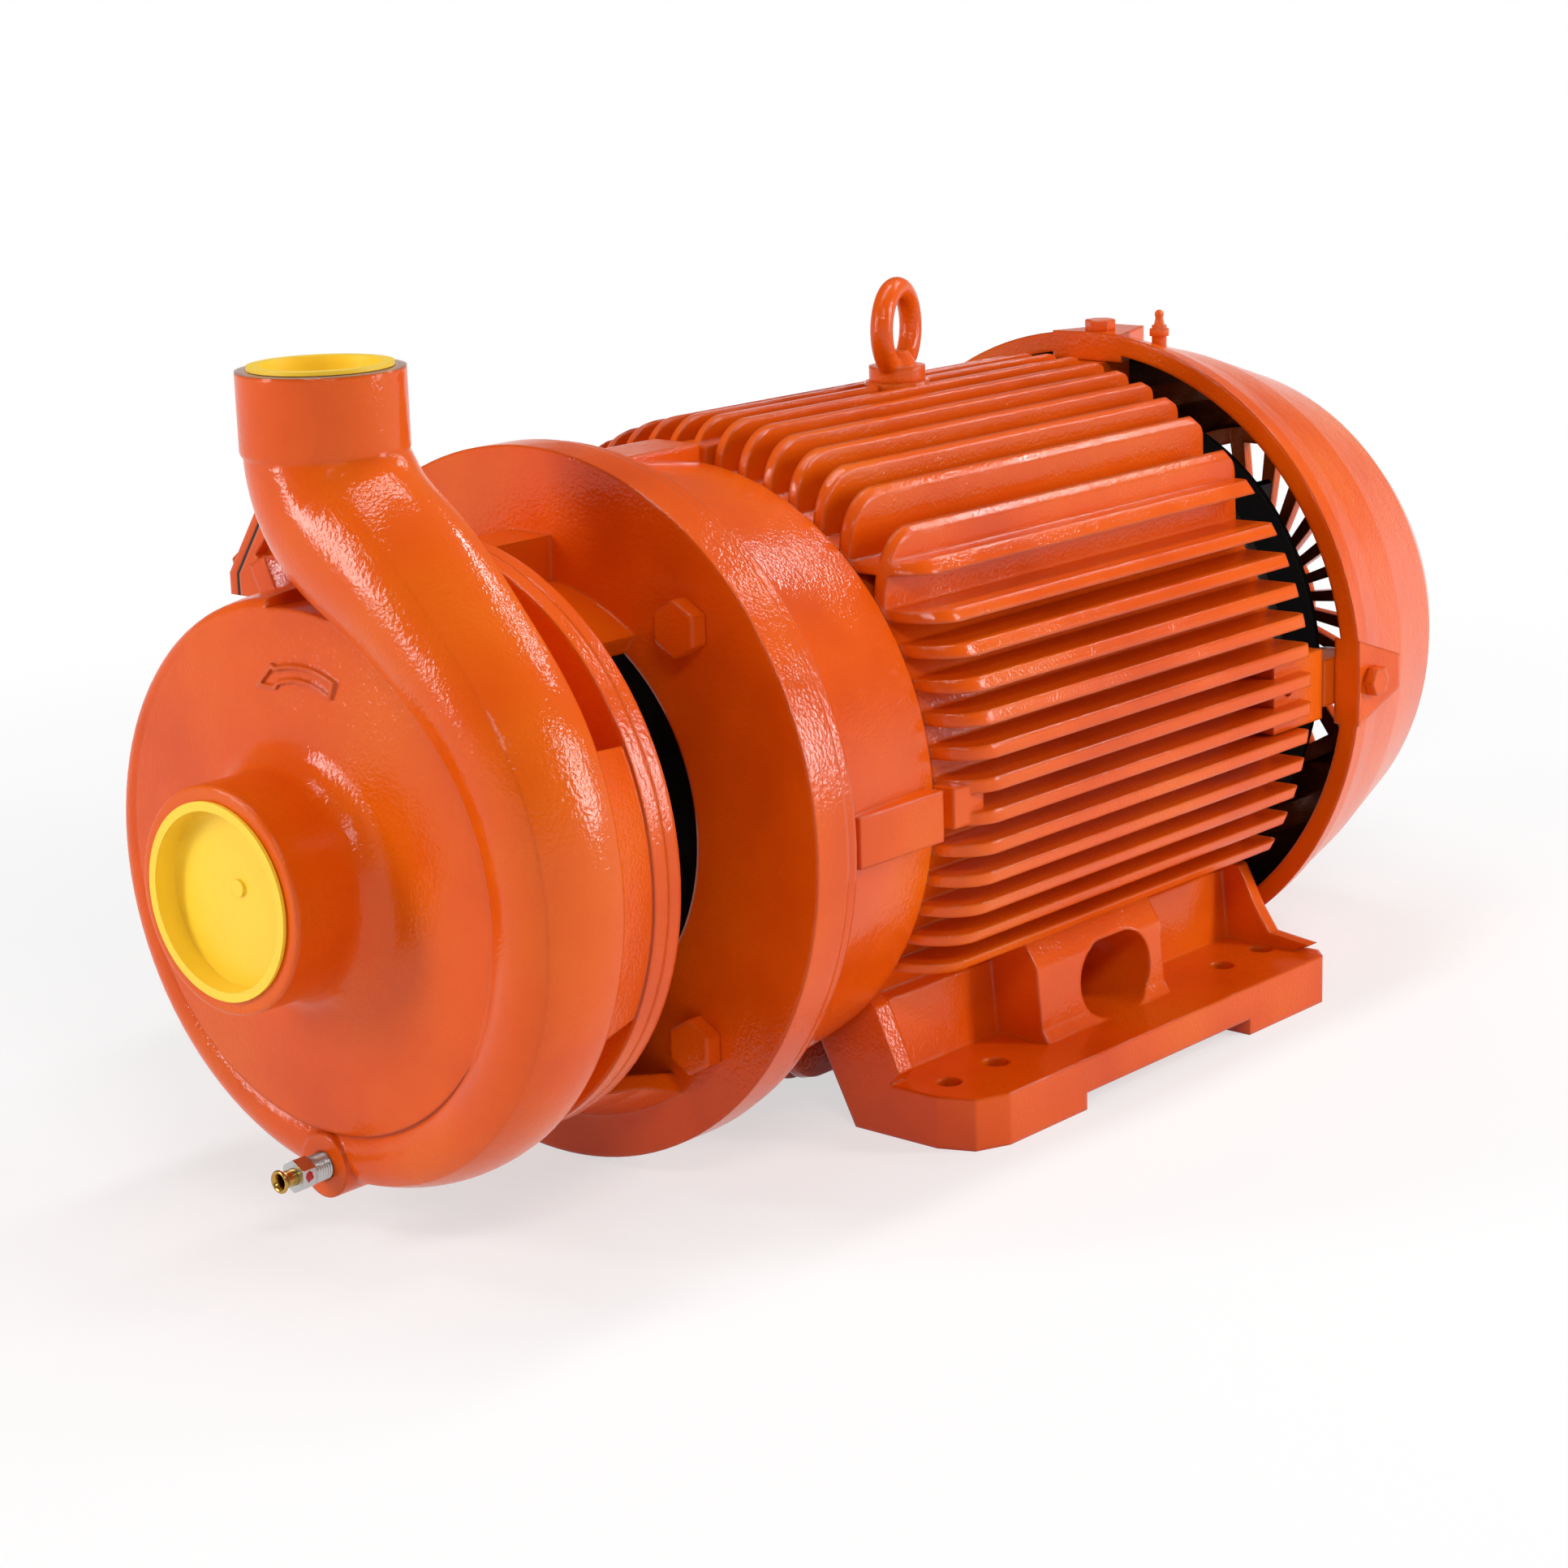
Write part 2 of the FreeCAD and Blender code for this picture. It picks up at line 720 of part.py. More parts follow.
def port_cap(label, face_radius, bore, recess):
    """Moulded cap: rim on the port's face, skirt in the thread, floor sunk below the rim."""
    body = new_body(label)
    face = d.face_gap * -1
    skirt = bore - d.face_gap
    turn(body, "turned", [
        (face - d.cap_rim_height, skirt - d.cap_wall), (face - d.cap_rim_height, face_radius),
        (face, face_radius), (face, skirt), (d.cap_skirt, skirt), (d.cap_skirt, skirt - d.cap_wall),
        (recess + d.cap_wall, skirt - d.cap_wall), (recess + d.cap_wall, 0), (recess, 0),
        (recess, skirt - d.cap_wall)])
    raise_pad(body, "nub", "YZ_Plane", recess - 1.5, lambda s: draw_circle(s, -4, 5, d.cap_nub), 2)
    return body


suction_cap = port_cap("suction_cap", d.suction_cap_radius, d.suction_bore, d.suction_cap_recess)
bind(suction_cap, "Placement.Base.x", d.hub_station - d.flange_to_feet)
discharge_cap = port_cap("discharge_cap", d.outlet_cap_radius, d.outlet_bore, d.outlet_cap_recess)
discharge_cap.Placement = Placement(Vector(0, 0, 0), Rotation(Vector(0, 1, 0), 90))
bind(discharge_cap, "Placement.Base.x", d.outlet_station - d.flange_to_feet)
bind(discharge_cap, "Placement.Base.z", d.shaft_height + d.collar_top)


def on_drain(thing):
    bind(thing, "Placement.Base.z", d.shaft_height - d.drain_drop)


nipple = new_body("drain_nipple")
on_drain(nipple)
nipple_end = d.drain_boss_station - d.nipple_length
turn(nipple, "turned", [
    (d.drain_boss_station + 14, d.nipple_bore), (d.drain_boss_station + 14, d.drain_bore - d.running_gap),
    (nipple_end, d.drain_bore - d.running_gap), (nipple_end, d.nipple_bore)])

nut_end = nipple_end - d.nut_length
drain_nut = new_body("drain_nut")
on_drain(drain_nut)


def draw_hexagon(sketch, flats):
    corner = flats / math.sqrt(3)
    half = flats / 2
    draw_outline(sketch, [(0, corner), (half, corner / 2), (half, -corner / 2),
                          (0, -corner), (-half, -corner / 2), (-half, corner / 2)])


raise_pad(drain_nut, "hexagon", "YZ_Plane", nut_end, lambda s: draw_hexagon(s, d.nut_flats), d.nut_length)
drill(drain_nut, "bore", nut_end, 0, 0, d.nozzle_neck + d.running_gap, d.nut_length)
turn(drain_nut, "chamfer", [
    (nut_end - 1, d.nut_flats * 0.5), (nut_end - 1, d.nut_flats * 0.62),
    (nut_end + 1.4, d.nut_flats * 0.62)], cut=True)

nozzle = new_body("drain_nozzle")
on_drain(nozzle)
nozzle_end = nut_end - d.nozzle_length
turn(nozzle, "turned", [
    (nipple_end - 0.5, d.nipple_bore), (nipple_end - 0.5, d.nozzle_neck), (nozzle_end + 3.4, d.nozzle_neck),
    (nozzle_end + 1.6, d.nozzle_flare), (nozzle_end, d.nozzle_flare), (nozzle_end, d.nipple_bore + 0.8),
    (nozzle_end + 3, d.nipple_bore)])

# Wear ring in the casing's eye; the impeller's skirt runs in it.
wear_ring = new_body("wear_ring")
turn(wear_ring, "turned", [
    (ring_seat, ring_inner), (ring_seat, ring_outer), (ring_end, ring_outer), (ring_end, ring_inner)])

# Closed impeller: back plate and hub, front shroud with its eye skirt, and swept vanes between them.
impeller = new_body("impeller")
back_plate = d.impeller_back_station + d.impeller_plate
eye_skirt = d.impeller_eye + d.impeller_plate
turn(impeller, "back", [
    (d.impeller_hub_end, d.nose_radius + d.running_gap), (d.impeller_hub_end, d.impeller_hub),
    (back_plate, d.impeller_hub + 6), (back_plate, d.impeller_radius),
    (d.impeller_back_station, d.impeller_radius), (d.impeller_back_station, d.impeller_hub + 10),
    (d.nose_station, d.nose_radius + 6), (d.nose_station, d.nose_radius + d.running_gap)])


def draw_vane(sketch):
    """One vane of the closed impeller: two arcs from the eye to the rim, swept back."""
    inner, outer = d.impeller_hub + 8, d.impeller_radius - 0.5
    thick = d.vane_thick
    lean = math.radians(float(d.vane_wrap))

    def spot(radius, angle, shift):
        return (radius * math.sin(angle) + shift * math.cos(angle),
                radius * math.cos(angle) - shift * math.sin(angle))

    middle = (inner + outer) / 2
    leading = [spot(inner, 0, 0), spot((inner + middle) / 2, lean * 0.38, 0), spot(middle, lean * 0.9, 0),
               spot((middle + outer) / 2, lean * 1.45, 0), spot(outer, lean * 2.0, 0)]
    trailing = [spot(outer, lean * 2.0, thick), spot((middle + outer) / 2, lean * 1.45, thick),
                spot(middle, lean * 0.9, thick), spot((inner + middle) / 2, lean * 0.38, thick),
                spot(inner, 0, thick)]
    draw_outline(sketch, leading + trailing)


vane = raise_pad(impeller, "vane", "YZ_Plane", d.impeller_rim_station - 1, draw_vane,
                 d.impeller_back_station - d.impeller_rim_station + 2)
repeat(impeller, vane, d.vane_count)
turn(impeller, "shroud", [
    (d.impeller_front_station, d.impeller_eye), (d.impeller_front_station, eye_skirt),
    (d.impeller_rim_station - d.impeller_plate, eye_skirt),
    (d.impeller_rim_station - d.impeller_plate + 1, d.impeller_radius),
    (d.impeller_rim_station, d.impeller_radius), (d.impeller_rim_station, d.impeller_eye + 4),
    (d.impeller_rim_station - 3, d.impeller_eye)])

washer_front = d.nose_station - d.washer_thick
impeller_washer = new_body("impeller_washer")
turn(impeller_washer, "turned", [
    (washer_front, d.screw_radius + d.bolt_gap), (washer_front, d.washer_radius),
    (d.nose_station, d.washer_radius), (d.nose_station, d.screw_radius + d.bolt_gap)])

impeller_screw = new_body("impeller_screw")
turn(impeller_screw, "shank", [
    (washer_front - 2, 0), (washer_front - 2, d.screw_radius), (d.nose_station + d.screw_depth, d.screw_radius),
    (d.nose_station + d.screw_depth, 0)])
raise_pad(impeller_screw, "head", "YZ_Plane", washer_front - d.screw_head_length,
          lambda s: draw_hexagon(s, d.screw_head * 1.8), d.screw_head_length)

# Shaft: impeller nose, seal sleeve, bearing seats, core seat and fan tail.
shaft = new_body("shaft")
turn(shaft, "turned", [
    (d.nose_station + 0.5, 0), (d.nose_station + 0.5, d.nose_radius), (d.impeller_hub_end, d.nose_radius),
    (d.impeller_hub_end, d.sleeve_radius), (d.sleeve_end, d.sleeve_radius), (d.sleeve_end, d.neck_radius),
    (d.drive_bearing_station, d.neck_radius), (d.drive_bearing_station, d.drive_seat),
    (drive_bearing_end, d.drive_seat), (drive_bearing_end, d.shoulder_radius),
    (drive_bearing_end + d.shoulder_width, d.shoulder_radius), (drive_bearing_end + d.shoulder_width, d.core_seat),
    (stator_end + 20, d.core_seat), (stator_end + 20, d.shoulder_radius),
    (d.fan_bearing_station, d.shoulder_radius - 2), (d.fan_bearing_station, d.fan_seat),
    (fan_bearing_end, d.fan_seat), (fan_bearing_end, d.tail_radius), (d.tail_end, d.tail_radius),
    (d.tail_end, 0)])
drill(shaft, "tapped", d.nose_station, 0, 0, d.screw_radius + d.running_gap, d.screw_depth + 2)
key_front = d.impeller_hub_end - d.key_length - 2


def draw_keyway(sketch, width, low, high):
    half = width / 2
    draw_outline(sketch, [(-half, low), (half, low), (half, high), (-half, high)])


key_low = d.nose_radius - d.key_height / 2
raise_pad(shaft, "keyway", "YZ_Plane", key_front,
          lambda s: draw_keyway(s, d.key_width, key_low, d.nose_radius + 3), d.key_length, cut=True, back=True)
raise_pad(impeller, "keyway", "YZ_Plane", key_front - 8,
          lambda s: draw_keyway(s, d.key_width, d.nose_radius - 1, key_low + d.key_height + d.face_gap),
          d.impeller_hub_end - key_front + 8, cut=True, back=True)
impeller_key = new_body("impeller_key")
raise_pad(impeller_key, "bar", "YZ_Plane", key_front,
          lambda s: draw_keyway(s, d.key_width - d.running_gap, key_low + d.running_gap, key_low + d.key_height),
          d.key_length)

# Seal plate clamped between the casing and the bracket, with the mechanical seal on the sleeve.
seal_plate = new_body("seal_plate")
seat_back = seal_plate_front + d.seat_thick
turn(seal_plate, "turned", [
    (seal_plate_front, d.seat_radius + d.running_gap), (seal_plate_front, d.register_radius - d.running_gap),
    (d.joint_station - d.running_gap, d.register_radius - d.running_gap),
    (d.joint_station - d.running_gap, d.seal_plate_bore),
    (seat_back, d.seal_plate_bore), (seat_back, d.seat_radius + d.running_gap)])

casing_gasket = new_body("casing_gasket")
turn(casing_gasket, "turned", [
    (d.register_station, d.chamber_radius), (d.register_station, d.register_radius - d.face_gap),
    (seal_plate_front, d.register_radius - d.face_gap), (seal_plate_front, d.chamber_radius)])

seal_seat = new_body("seal_seat")
turn(seal_seat, "turned", [
    (seal_plate_front - 2, d.seal_plate_bore), (seal_plate_front - 2, d.seat_radius - 4),
    (seal_plate_front, d.seat_radius - 4), (seal_plate_front, d.seat_radius), (seat_back, d.seat_radius),
    (seat_back, d.seal_plate_bore)])

seal_face = seal_plate_front - 2 - d.running_gap
seal_head_front = seal_face - d.seal_head_length
seal_head = new_body("seal_head")
turn(seal_head, "turned", [
    (seal_head_front, d.sleeve_radius + d.running_gap), (seal_head_front, d.seal_head_radius),
    (seal_face - 3, d.seal_head_radius), (seal_face - 3, d.seal_head_radius - 3),
    (seal_face, d.seal_head_radius - 3), (seal_face, d.sleeve_radius + d.running_gap)])

seal_spring = new_body("seal_spring")
turn(seal_spring, "turned", [
    (d.impeller_hub_end, d.sleeve_radius + 0.5), (d.impeller_hub_end, d.sleeve_radius + 3.5),
    (seal_head_front, d.sleeve_radius + 3.5), (seal_head_front, d.sleeve_radius + 0.5)])

slinger = new_body("slinger")
turn(slinger, "turned", [
    (d.slinger_station, d.neck_radius + d.running_gap), (d.slinger_station, d.neck_radius + 5),
    (d.slinger_station + 2, d.slinger_radius), (d.slinger_station + d.slinger_thick, d.slinger_radius),
    (d.slinger_station + d.slinger_thick, d.neck_radius + d.running_gap)])

# Bracket: mounting disc, half-open bell with side windows, and the ring that holds the casing.
bracket = new_body("bracket")
turn(bracket, "disc", [
    (0, d.flange_mouth), (0, d.flange_radius), (d.flange_thick, d.flange_radius),
    (d.flange_thick, d.flange_mouth)])
turn(bracket, "upper_bell", [
    (bracket_back - 3, d.bell_throat_radius - d.bell_wall), (bracket_back - 3, d.bell_throat_radius),
    (d.bell_throat_end, d.bell_top_radius), (2, d.bell_top_radius), (2, d.bell_top_radius - d.bell_wall),
    (d.bell_throat_end, d.bell_top_radius - d.bell_wall)], angle=d.bell_half_angle * 2)
raise_pad(bracket, "top_rib", "YZ_Plane", bracket_back - 3, lambda s: draw_keyway(
    s, d.bell_rib_width, d.bell_top_radius - d.bell_wall + 4, d.bell_rib_top), 5 - bracket_back)
turn(bracket, "ring", [
    (d.joint_station, d.bracket_mouth), (d.joint_station, d.ring_radius), (bracket_back, d.ring_radius),
    (bracket_back, d.bracket_mouth)])
turn(bracket, "lower_bell", [
    (bracket_back - 3, -(d.ring_radius - 5 - d.bell_wall)), (bracket_back - 3, -(d.ring_radius - 5)),
    (-22, -(d.ring_radius + 1)), (2, -d.bell_low_radius), (2, -(d.bell_low_radius - d.bell_wall))],
     angle=d.bell_half_angle * 2 - 4)
flange_y, flange_z = on_circle(d.flange_bolt_circle, 45)
repeat(bracket, drill(bracket, "flange_hole", -20, flange_y, flange_z, d.flange_bolt + d.bolt_gap, 60), 4)
casing_y, casing_z = on_circle(d.casing_bolt_circle, 22.5)
repeat(bracket, drill(bracket, "casing_hole", d.joint_station - 1, casing_y, casing_z,
                      d.casing_bolt + d.bolt_gap, d.bracket_ring_thick + 22), d.casing_bolt_count)
repeat(bracket, drill(bracket, "head_room", bracket_back, casing_y, casing_z,
                      d.casing_bolt * 2, 24), d.casing_bolt_count)


def bolt_set(label, station, circle, radius, length, angles, heads_forward=True):
    """Identical hex bolts on a circle, one separate solid each, seated at a station."""
    towards = Vector(-1 if heads_forward else 1, 0, 0)
    bolts = [hex_bolt(polar_point(station, circle, angle), towards, radius, length) for angle in angles]
    return new_feature(label, Part.makeCompound(bolts))


eighths = [22.5 + 45 * place for place in range(8)]
bolt_set("casing_bolts", bracket_back, d.casing_bolt_circle, d.casing_bolt, d.bracket_ring_thick + 8.5,
         eighths, heads_forward=False)
bolt_set("bracket_bolts", 0, d.flange_bolt_circle, d.flange_bolt, d.flange_thick + 22, [45, 135, 225, 315])

# Drive endshield: rim that shows behind the bracket, web, bearing hub and spigot in the frame.
drive_shield = new_body("drive_endshield")
hub_end = drive_bearing_end + 4
turn(drive_shield, "turned", [
    (d.flange_thick, d.drive_bearing_radius - 12), (d.flange_thick, d.flange_mouth - d.face_gap),
    (d.flange_thick, d.shield_rim_radius), (d.shield_rim_end, d.shield_rim_radius),
    (d.shield_rim_end, d.frame_bore - d.running_gap),
    (d.shield_rim_end + d.spigot_length, d.frame_bore - d.running_gap),
    (d.shield_rim_end + d.spigot_length, d.frame_bore - 14),
    (d.shield_rim_end + 5, d.drive_bearing_radius + d.shield_hub_wall + 6),
    (hub_end, d.drive_bearing_radius + d.shield_hub_wall), (hub_end, d.drive_bearing_radius + d.running_gap),
    (d.drive_bearing_station, d.drive_bearing_radius + d.running_gap),
    (d.drive_bearing_station, d.drive_bearing_radius - 12)])
repeat(drive_shield, drill(drive_shield, "bolt_hole", d.flange_thick, flange_y, flange_z,
                           d.flange_bolt + d.bolt_gap, 30), 4)
cap_y, cap_z = on_circle(d.cap_screw_circle, float(d.cap_screw_turn))
repeat(drive_shield, drill(drive_shield, "cap_hole", d.flange_thick, cap_y, cap_z,
                           d.cap_screw + d.bolt_gap, 60), 3)

# Inner bearing cap and its slotted screws, whose heads show through the bracket's window.
inner_cap = new_body("inner_bearing_cap")
turn(inner_cap, "turned", [
    (hub_end, d.core_seat + d.bolt_gap), (hub_end, d.cap_screw_circle + 12),
    (hub_end + d.cap_thick, d.cap_screw_circle + 12), (hub_end + d.cap_thick, d.core_seat + d.bolt_gap)])
repeat(inner_cap, drill(inner_cap, "tapped", hub_end, cap_y, cap_z, d.cap_screw + d.running_gap, 30), 3)


def slotted_screw(seat, radius, length):
    """Cheese-head screw that points towards the fan from its seat."""
    head = tube(seat.x - 0.9 * float(radius), 0.9 * float(radius), 2.1 * float(radius))
    shank = tube(seat.x - 0.1, float(length), radius)
    slot = block(seat.x - 2 * float(radius), seat.x - 0.45 * float(radius), -0.28 * float(radius),
                 0.28 * float(radius), -3 * float(radius), 3 * float(radius))
    screw = head.fuse(shank).cut(slot)
    screw.translate(Vector(0, seat.y, seat.z))
    return screw


cap_length = hub_end - d.flange_thick + d.cap_thick
cap_seats = [polar_point(d.flange_thick, d.cap_screw_circle, float(d.cap_screw_turn) + 120 * place)
             for place in range(3)]
new_feature("bearing_cap_screws", Part.makeCompound(
    [slotted_screw(seat, d.cap_screw, cap_length) for seat in cap_seats]))


def ball_bearing(name, station, width, bore, outside):
    """Deep-groove bearing as separate rings and balls, with running play between them."""
    section = outside - bore
    ball = section * 0.27
    middle = (outside + bore) / 2
    centre = station + width / 2
    outer = new_body(f"{name}_outer_ring")
    turn(outer, "ring", [(station, outside - section * 0.28), (station, outside),
                         (station + width, outside), (station + width, outside - section * 0.28)])
    inner = new_body(f"{name}_inner_ring")
    turn(inner, "ring", [(station, bore + d.running_gap / 2), (station, bore + section * 0.28),
                         (station + width, bore + section * 0.28), (station + width, bore + d.running_gap / 2)])
    for body in (outer, inner):
        cut_groove(body, centre, middle, ball + d.running_gap)
    balls = [Part.makeSphere(float(ball), polar_point(centre, middle, 360 / driving_sizes["ball_count"] * place))
             for place in range(driving_sizes["ball_count"])]
    new_feature(f"{name}_balls", Part.makeCompound(balls))


def cut_groove(body, station, radius, ball):
    sketch = new_sketch(body, "XZ_Plane")
    draw_circle(sketch, station, radius, ball)
    made = feature(body, "Groove", "raceway", sketch)
    made.ReferenceAxis = (sketch, ["H_Axis"])
    doc.recompute()


ball_bearing("drive_bearing", d.drive_bearing_station, d.drive_bearing_width, d.drive_seat,
             d.drive_bearing_radius)
ball_bearing("fan_bearing", d.fan_bearing_station, d.fan_bearing_width, d.fan_seat, d.fan_bearing_radius)

# Fan-end endshield: spigot in the frame, web, bearing hub and four arms that carry the cowl.
fan_shield = new_body("fan_endshield")
fan_hub_end = fan_bearing_end + 3
wave_gap = 2.5
turn(fan_shield, "turned", [
    (d.fan_shield_station - d.spigot_length, d.frame_bore - d.running_gap),
    (d.fan_shield_station, d.frame_bore - d.running_gap), (d.fan_shield_station, d.barrel_radius),
    (d.fan_shield_station + d.shield_web, d.barrel_radius),
    (d.fan_shield_station + d.shield_web, d.shield_bolt_circle - 9),
    (d.fan_shield_station + d.shield_web + 8, d.fan_bearing_radius + d.shield_hub_wall + 8),
    (fan_hub_end, d.fan_bearing_radius + d.shield_hub_wall), (fan_hub_end, d.fan_seat + 4),
    (fan_bearing_end + d.face_gap, d.fan_seat + 4), (fan_bearing_end + d.face_gap, d.fan_bearing_radius + d.running_gap),
    (d.fan_bearing_station - wave_gap, d.fan_bearing_radius + d.running_gap),
    (d.fan_bearing_station - wave_gap, d.shoulder_radius + 2),
    (d.fan_shield_station, d.shoulder_radius + 2), (d.fan_shield_station, d.frame_bore - 14),
    (d.fan_shield_station - d.spigot_length, d.frame_bore - 14)])
arm_low = d.barrel_radius - 22
arm_step = d.lug_end + d.bolt_gap
arm_end = d.cowl_ear_station + 10
arm = raise_pad(fan_shield, "arm", "XZ_Plane", 0, lambda s: draw_outline(s, [
    (d.fan_shield_station + 3, arm_low), (d.fan_shield_station + 3, d.barrel_radius - 1),
    (arm_step, d.barrel_radius - 1), (arm_step, d.arm_top), (arm_end, d.arm_top),
    (arm_end, d.arm_top - 18), (arm_step + 8, arm_low)]), d.arm_half * 2, symmetric=True)
repeat(fan_shield, arm, 4)
arm_bore = raise_pad(fan_shield, "arm_tapped", "XY_Plane", d.arm_top - 17,
                     lambda s: draw_circle(s, d.cowl_ear_station, 0, d.cowl_bolt + d.running_gap), 60,
                     cut=True, back=True)
repeat(fan_shield, arm_bore, 4)
shield_y, shield_z = on_circle(d.shield_bolt_circle, 45)
repeat(fan_shield, drill(fan_shield, "bolt_hole", d.fan_shield_station, shield_y, shield_z,
                         d.shield_bolt + d.bolt_gap, 40), 4)
shield_bolt_seat = d.fan_shield_station + d.shield_web
bolt_set("endshield_bolts", shield_bolt_seat, d.shield_bolt_circle, d.shield_bolt, d.shield_web + 18,
         [45, 135, 225, 315], heads_forward=False)

wave_spring = new_body("wave_spring")
turn(wave_spring, "turned", [
    (d.fan_bearing_station - wave_gap + 0.2, d.fan_bearing_radius - 9),
    (d.fan_bearing_station - wave_gap + 0.2, d.fan_bearing_radius - 0.5),
    (d.fan_bearing_station - 0.2, d.fan_bearing_radius - 0.5), (d.fan_bearing_station - 0.2, d.fan_bearing_radius - 9)])

# Stator core and end windings, rotor core and its short-circuit rings.
stator = new_body("stator_core")
turn(stator, "turned", [
    (d.stator_front, d.stator_bore), (d.stator_front, d.frame_bore), (stator_end, d.frame_bore),
    (stator_end, d.stator_bore)])
coils = []
for end, way in ((d.stator_front, -1), (stator_end, 1)):
    overhang = way * float(d.coil_overhang)
    profile = [(end, d.coil_inner), (end, d.coil_outer), (float(end) + overhang * 0.7, d.coil_outer),
               (float(end) + overhang, d.coil_outer - 9), (float(end) + overhang, d.coil_inner + 9),
               (float(end) + overhang * 0.7, d.coil_inner)]
    coils.append(turned_shape(profile))
new_feature("stator_windings", Part.makeCompound(coils))
rotor = new_body("rotor_core")
rotor_radius = d.stator_bore - d.air_gap
turn(rotor, "turned", [
    (d.stator_front, d.core_seat + d.running_gap / 2), (d.stator_front, d.end_ring_inner),
    (d.stator_front - d.end_ring_width, d.end_ring_inner), (d.stator_front - d.end_ring_width, rotor_radius),
    (stator_end + d.end_ring_width, rotor_radius), (stator_end + d.end_ring_width, d.end_ring_inner),
    (stator_end, d.end_ring_inner), (stator_end, d.core_seat + d.running_gap / 2)])

# Cooling fan with straight radial blades, held by a clip in the shaft's tail.
fan = new_body("cooling_fan")
fan_back = d.fan_station + d.fan_plate
turn(fan, "turned", [
    (d.fan_station, d.tail_radius + d.running_gap), (d.fan_station, d.fan_radius),
    (fan_back, d.fan_radius), (fan_back, d.fan_hub),
    (d.fan_station + d.fan_hub_length, d.fan_hub - 4), (d.fan_station + d.fan_hub_length,
                                                       d.tail_radius + d.running_gap)])
blade = raise_pad(fan, "blade", "XY_Plane", d.fan_hub - 6, lambda s: draw_outline(s, [
    (fan_back - 1, -d.fan_blade_thick / 2), (fan_back + d.fan_blade_width, -d.fan_blade_thick / 2),
    (fan_back + d.fan_blade_width, d.fan_blade_thick / 2), (fan_back - 1, d.fan_blade_thick / 2)]),
    d.fan_radius - d.fan_hub + 6)
repeat(fan, blade, d.fan_blade_count)
turn(fan, "tip_trim", [
    (fan_back + 10, d.fan_radius + 2), (fan_back + d.fan_blade_width + 2, d.fan_radius + 2),
    (fan_back + d.fan_blade_width + 2, d.fan_radius - 26)], cut=True)

clip_station = d.fan_station + d.fan_hub_length + 0.2
fan_clip = new_body("fan_clip")
turn(fan_clip, "turned", [
    (clip_station, d.tail_radius - 0.8), (clip_station, d.tail_radius + 3.5),
    (clip_station + 1.8, d.tail_radius + 3.5), (clip_station + 1.8, d.tail_radius - 0.8)])
turn(shaft, "clip_groove", [
    (clip_station - 0.1, d.tail_radius - 0.9), (clip_station - 0.1, d.tail_radius + 1),
    (clip_station + 1.9, d.tail_radius + 1), (clip_station + 1.9, d.tail_radius - 0.9)], cut=True)

# Cast fan cowl: rim round the fins, waist, dome and a grille of radial slots in its end.
cowl = new_body("fan_cowl")
waist_station = d.cowl_front + 71
wall = d.cowl_wall
turn(cowl, "shell", [
    (d.cowl_front, d.cowl_radius - wall - 3), (d.cowl_front, d.cowl_radius),
    (d.cowl_front + 14, d.cowl_radius - 2.5), (d.cowl_front + 34, d.cowl_radius - 8),
    (waist_station, d.cowl_waist), (d.cowl_end - 48, 148), (d.cowl_end - 24, 134),
    (d.cowl_end - 6, d.cowl_end_radius + 3), (d.cowl_end, d.cowl_end_radius - 4),
    (d.cowl_end, 0), (d.cowl_end - wall, 0), (d.cowl_end - wall, d.cowl_end_radius - 12),
    (d.cowl_end - 24 - wall, 134 - wall), (d.cowl_end - 48 - wall, 148 - wall),
    (waist_station - 2, d.cowl_waist - wall), (d.cowl_front + 34, d.cowl_radius - 8 - wall)])
grille = raise_pad(cowl, "slot", "YZ_Plane", d.cowl_end - wall - 2, lambda s: draw_outline(s, [
    (-d.grille_slot * 0.3, d.cowl_hub), (d.grille_slot * 0.3, d.cowl_hub),
    (d.grille_slot, d.grille_reach), (-d.grille_slot, d.grille_reach)]),
    wall + 4, cut=True, back=True)
repeat(cowl, grille, d.grille_bars)
ear_low = d.arm_top + d.face_gap
ear_end = d.cowl_front + 42
ear = raise_pad(cowl, "ear", "XY_Plane", ear_low, lambda s: draw_outline(s, [
    (d.cowl_front, -d.cowl_ear_half), (ear_end, -d.cowl_ear_half * 0.4),
    (ear_end, d.cowl_ear_half * 0.4), (d.cowl_front, d.cowl_ear_half)]), d.cowl_ear_face - ear_low)
repeat(cowl, ear, 4)
ear_hole = raise_pad(cowl, "ear_hole", "XY_Plane", ear_low - 2,
                     lambda s: draw_circle(s, d.cowl_ear_station, 0, d.cowl_bolt + d.bolt_gap), 60,
                     cut=True, back=True)
repeat(cowl, ear_hole, 4)
raise_pad(cowl, "flat_below", "XZ_Plane", -200, lambda s: draw_outline(s, [
    (d.cowl_front - 5, foot_low - 20), (d.cowl_front + 60, foot_low - 20),
    (d.cowl_front + 60, foot_low + 3), (d.cowl_front - 5, foot_low + 3)]), 400, cut=True, back=True)
cowl_bolts = [hex_bolt(polar_point(d.cowl_ear_station, d.cowl_ear_face, angle),
                       Vector(0, math.sin(math.radians(angle)), math.cos(math.radians(angle))),
                       d.cowl_bolt, 30) for angle in (0, 90, 270)]
new_feature("cowl_bolts", Part.makeCompound(cowl_bolts))

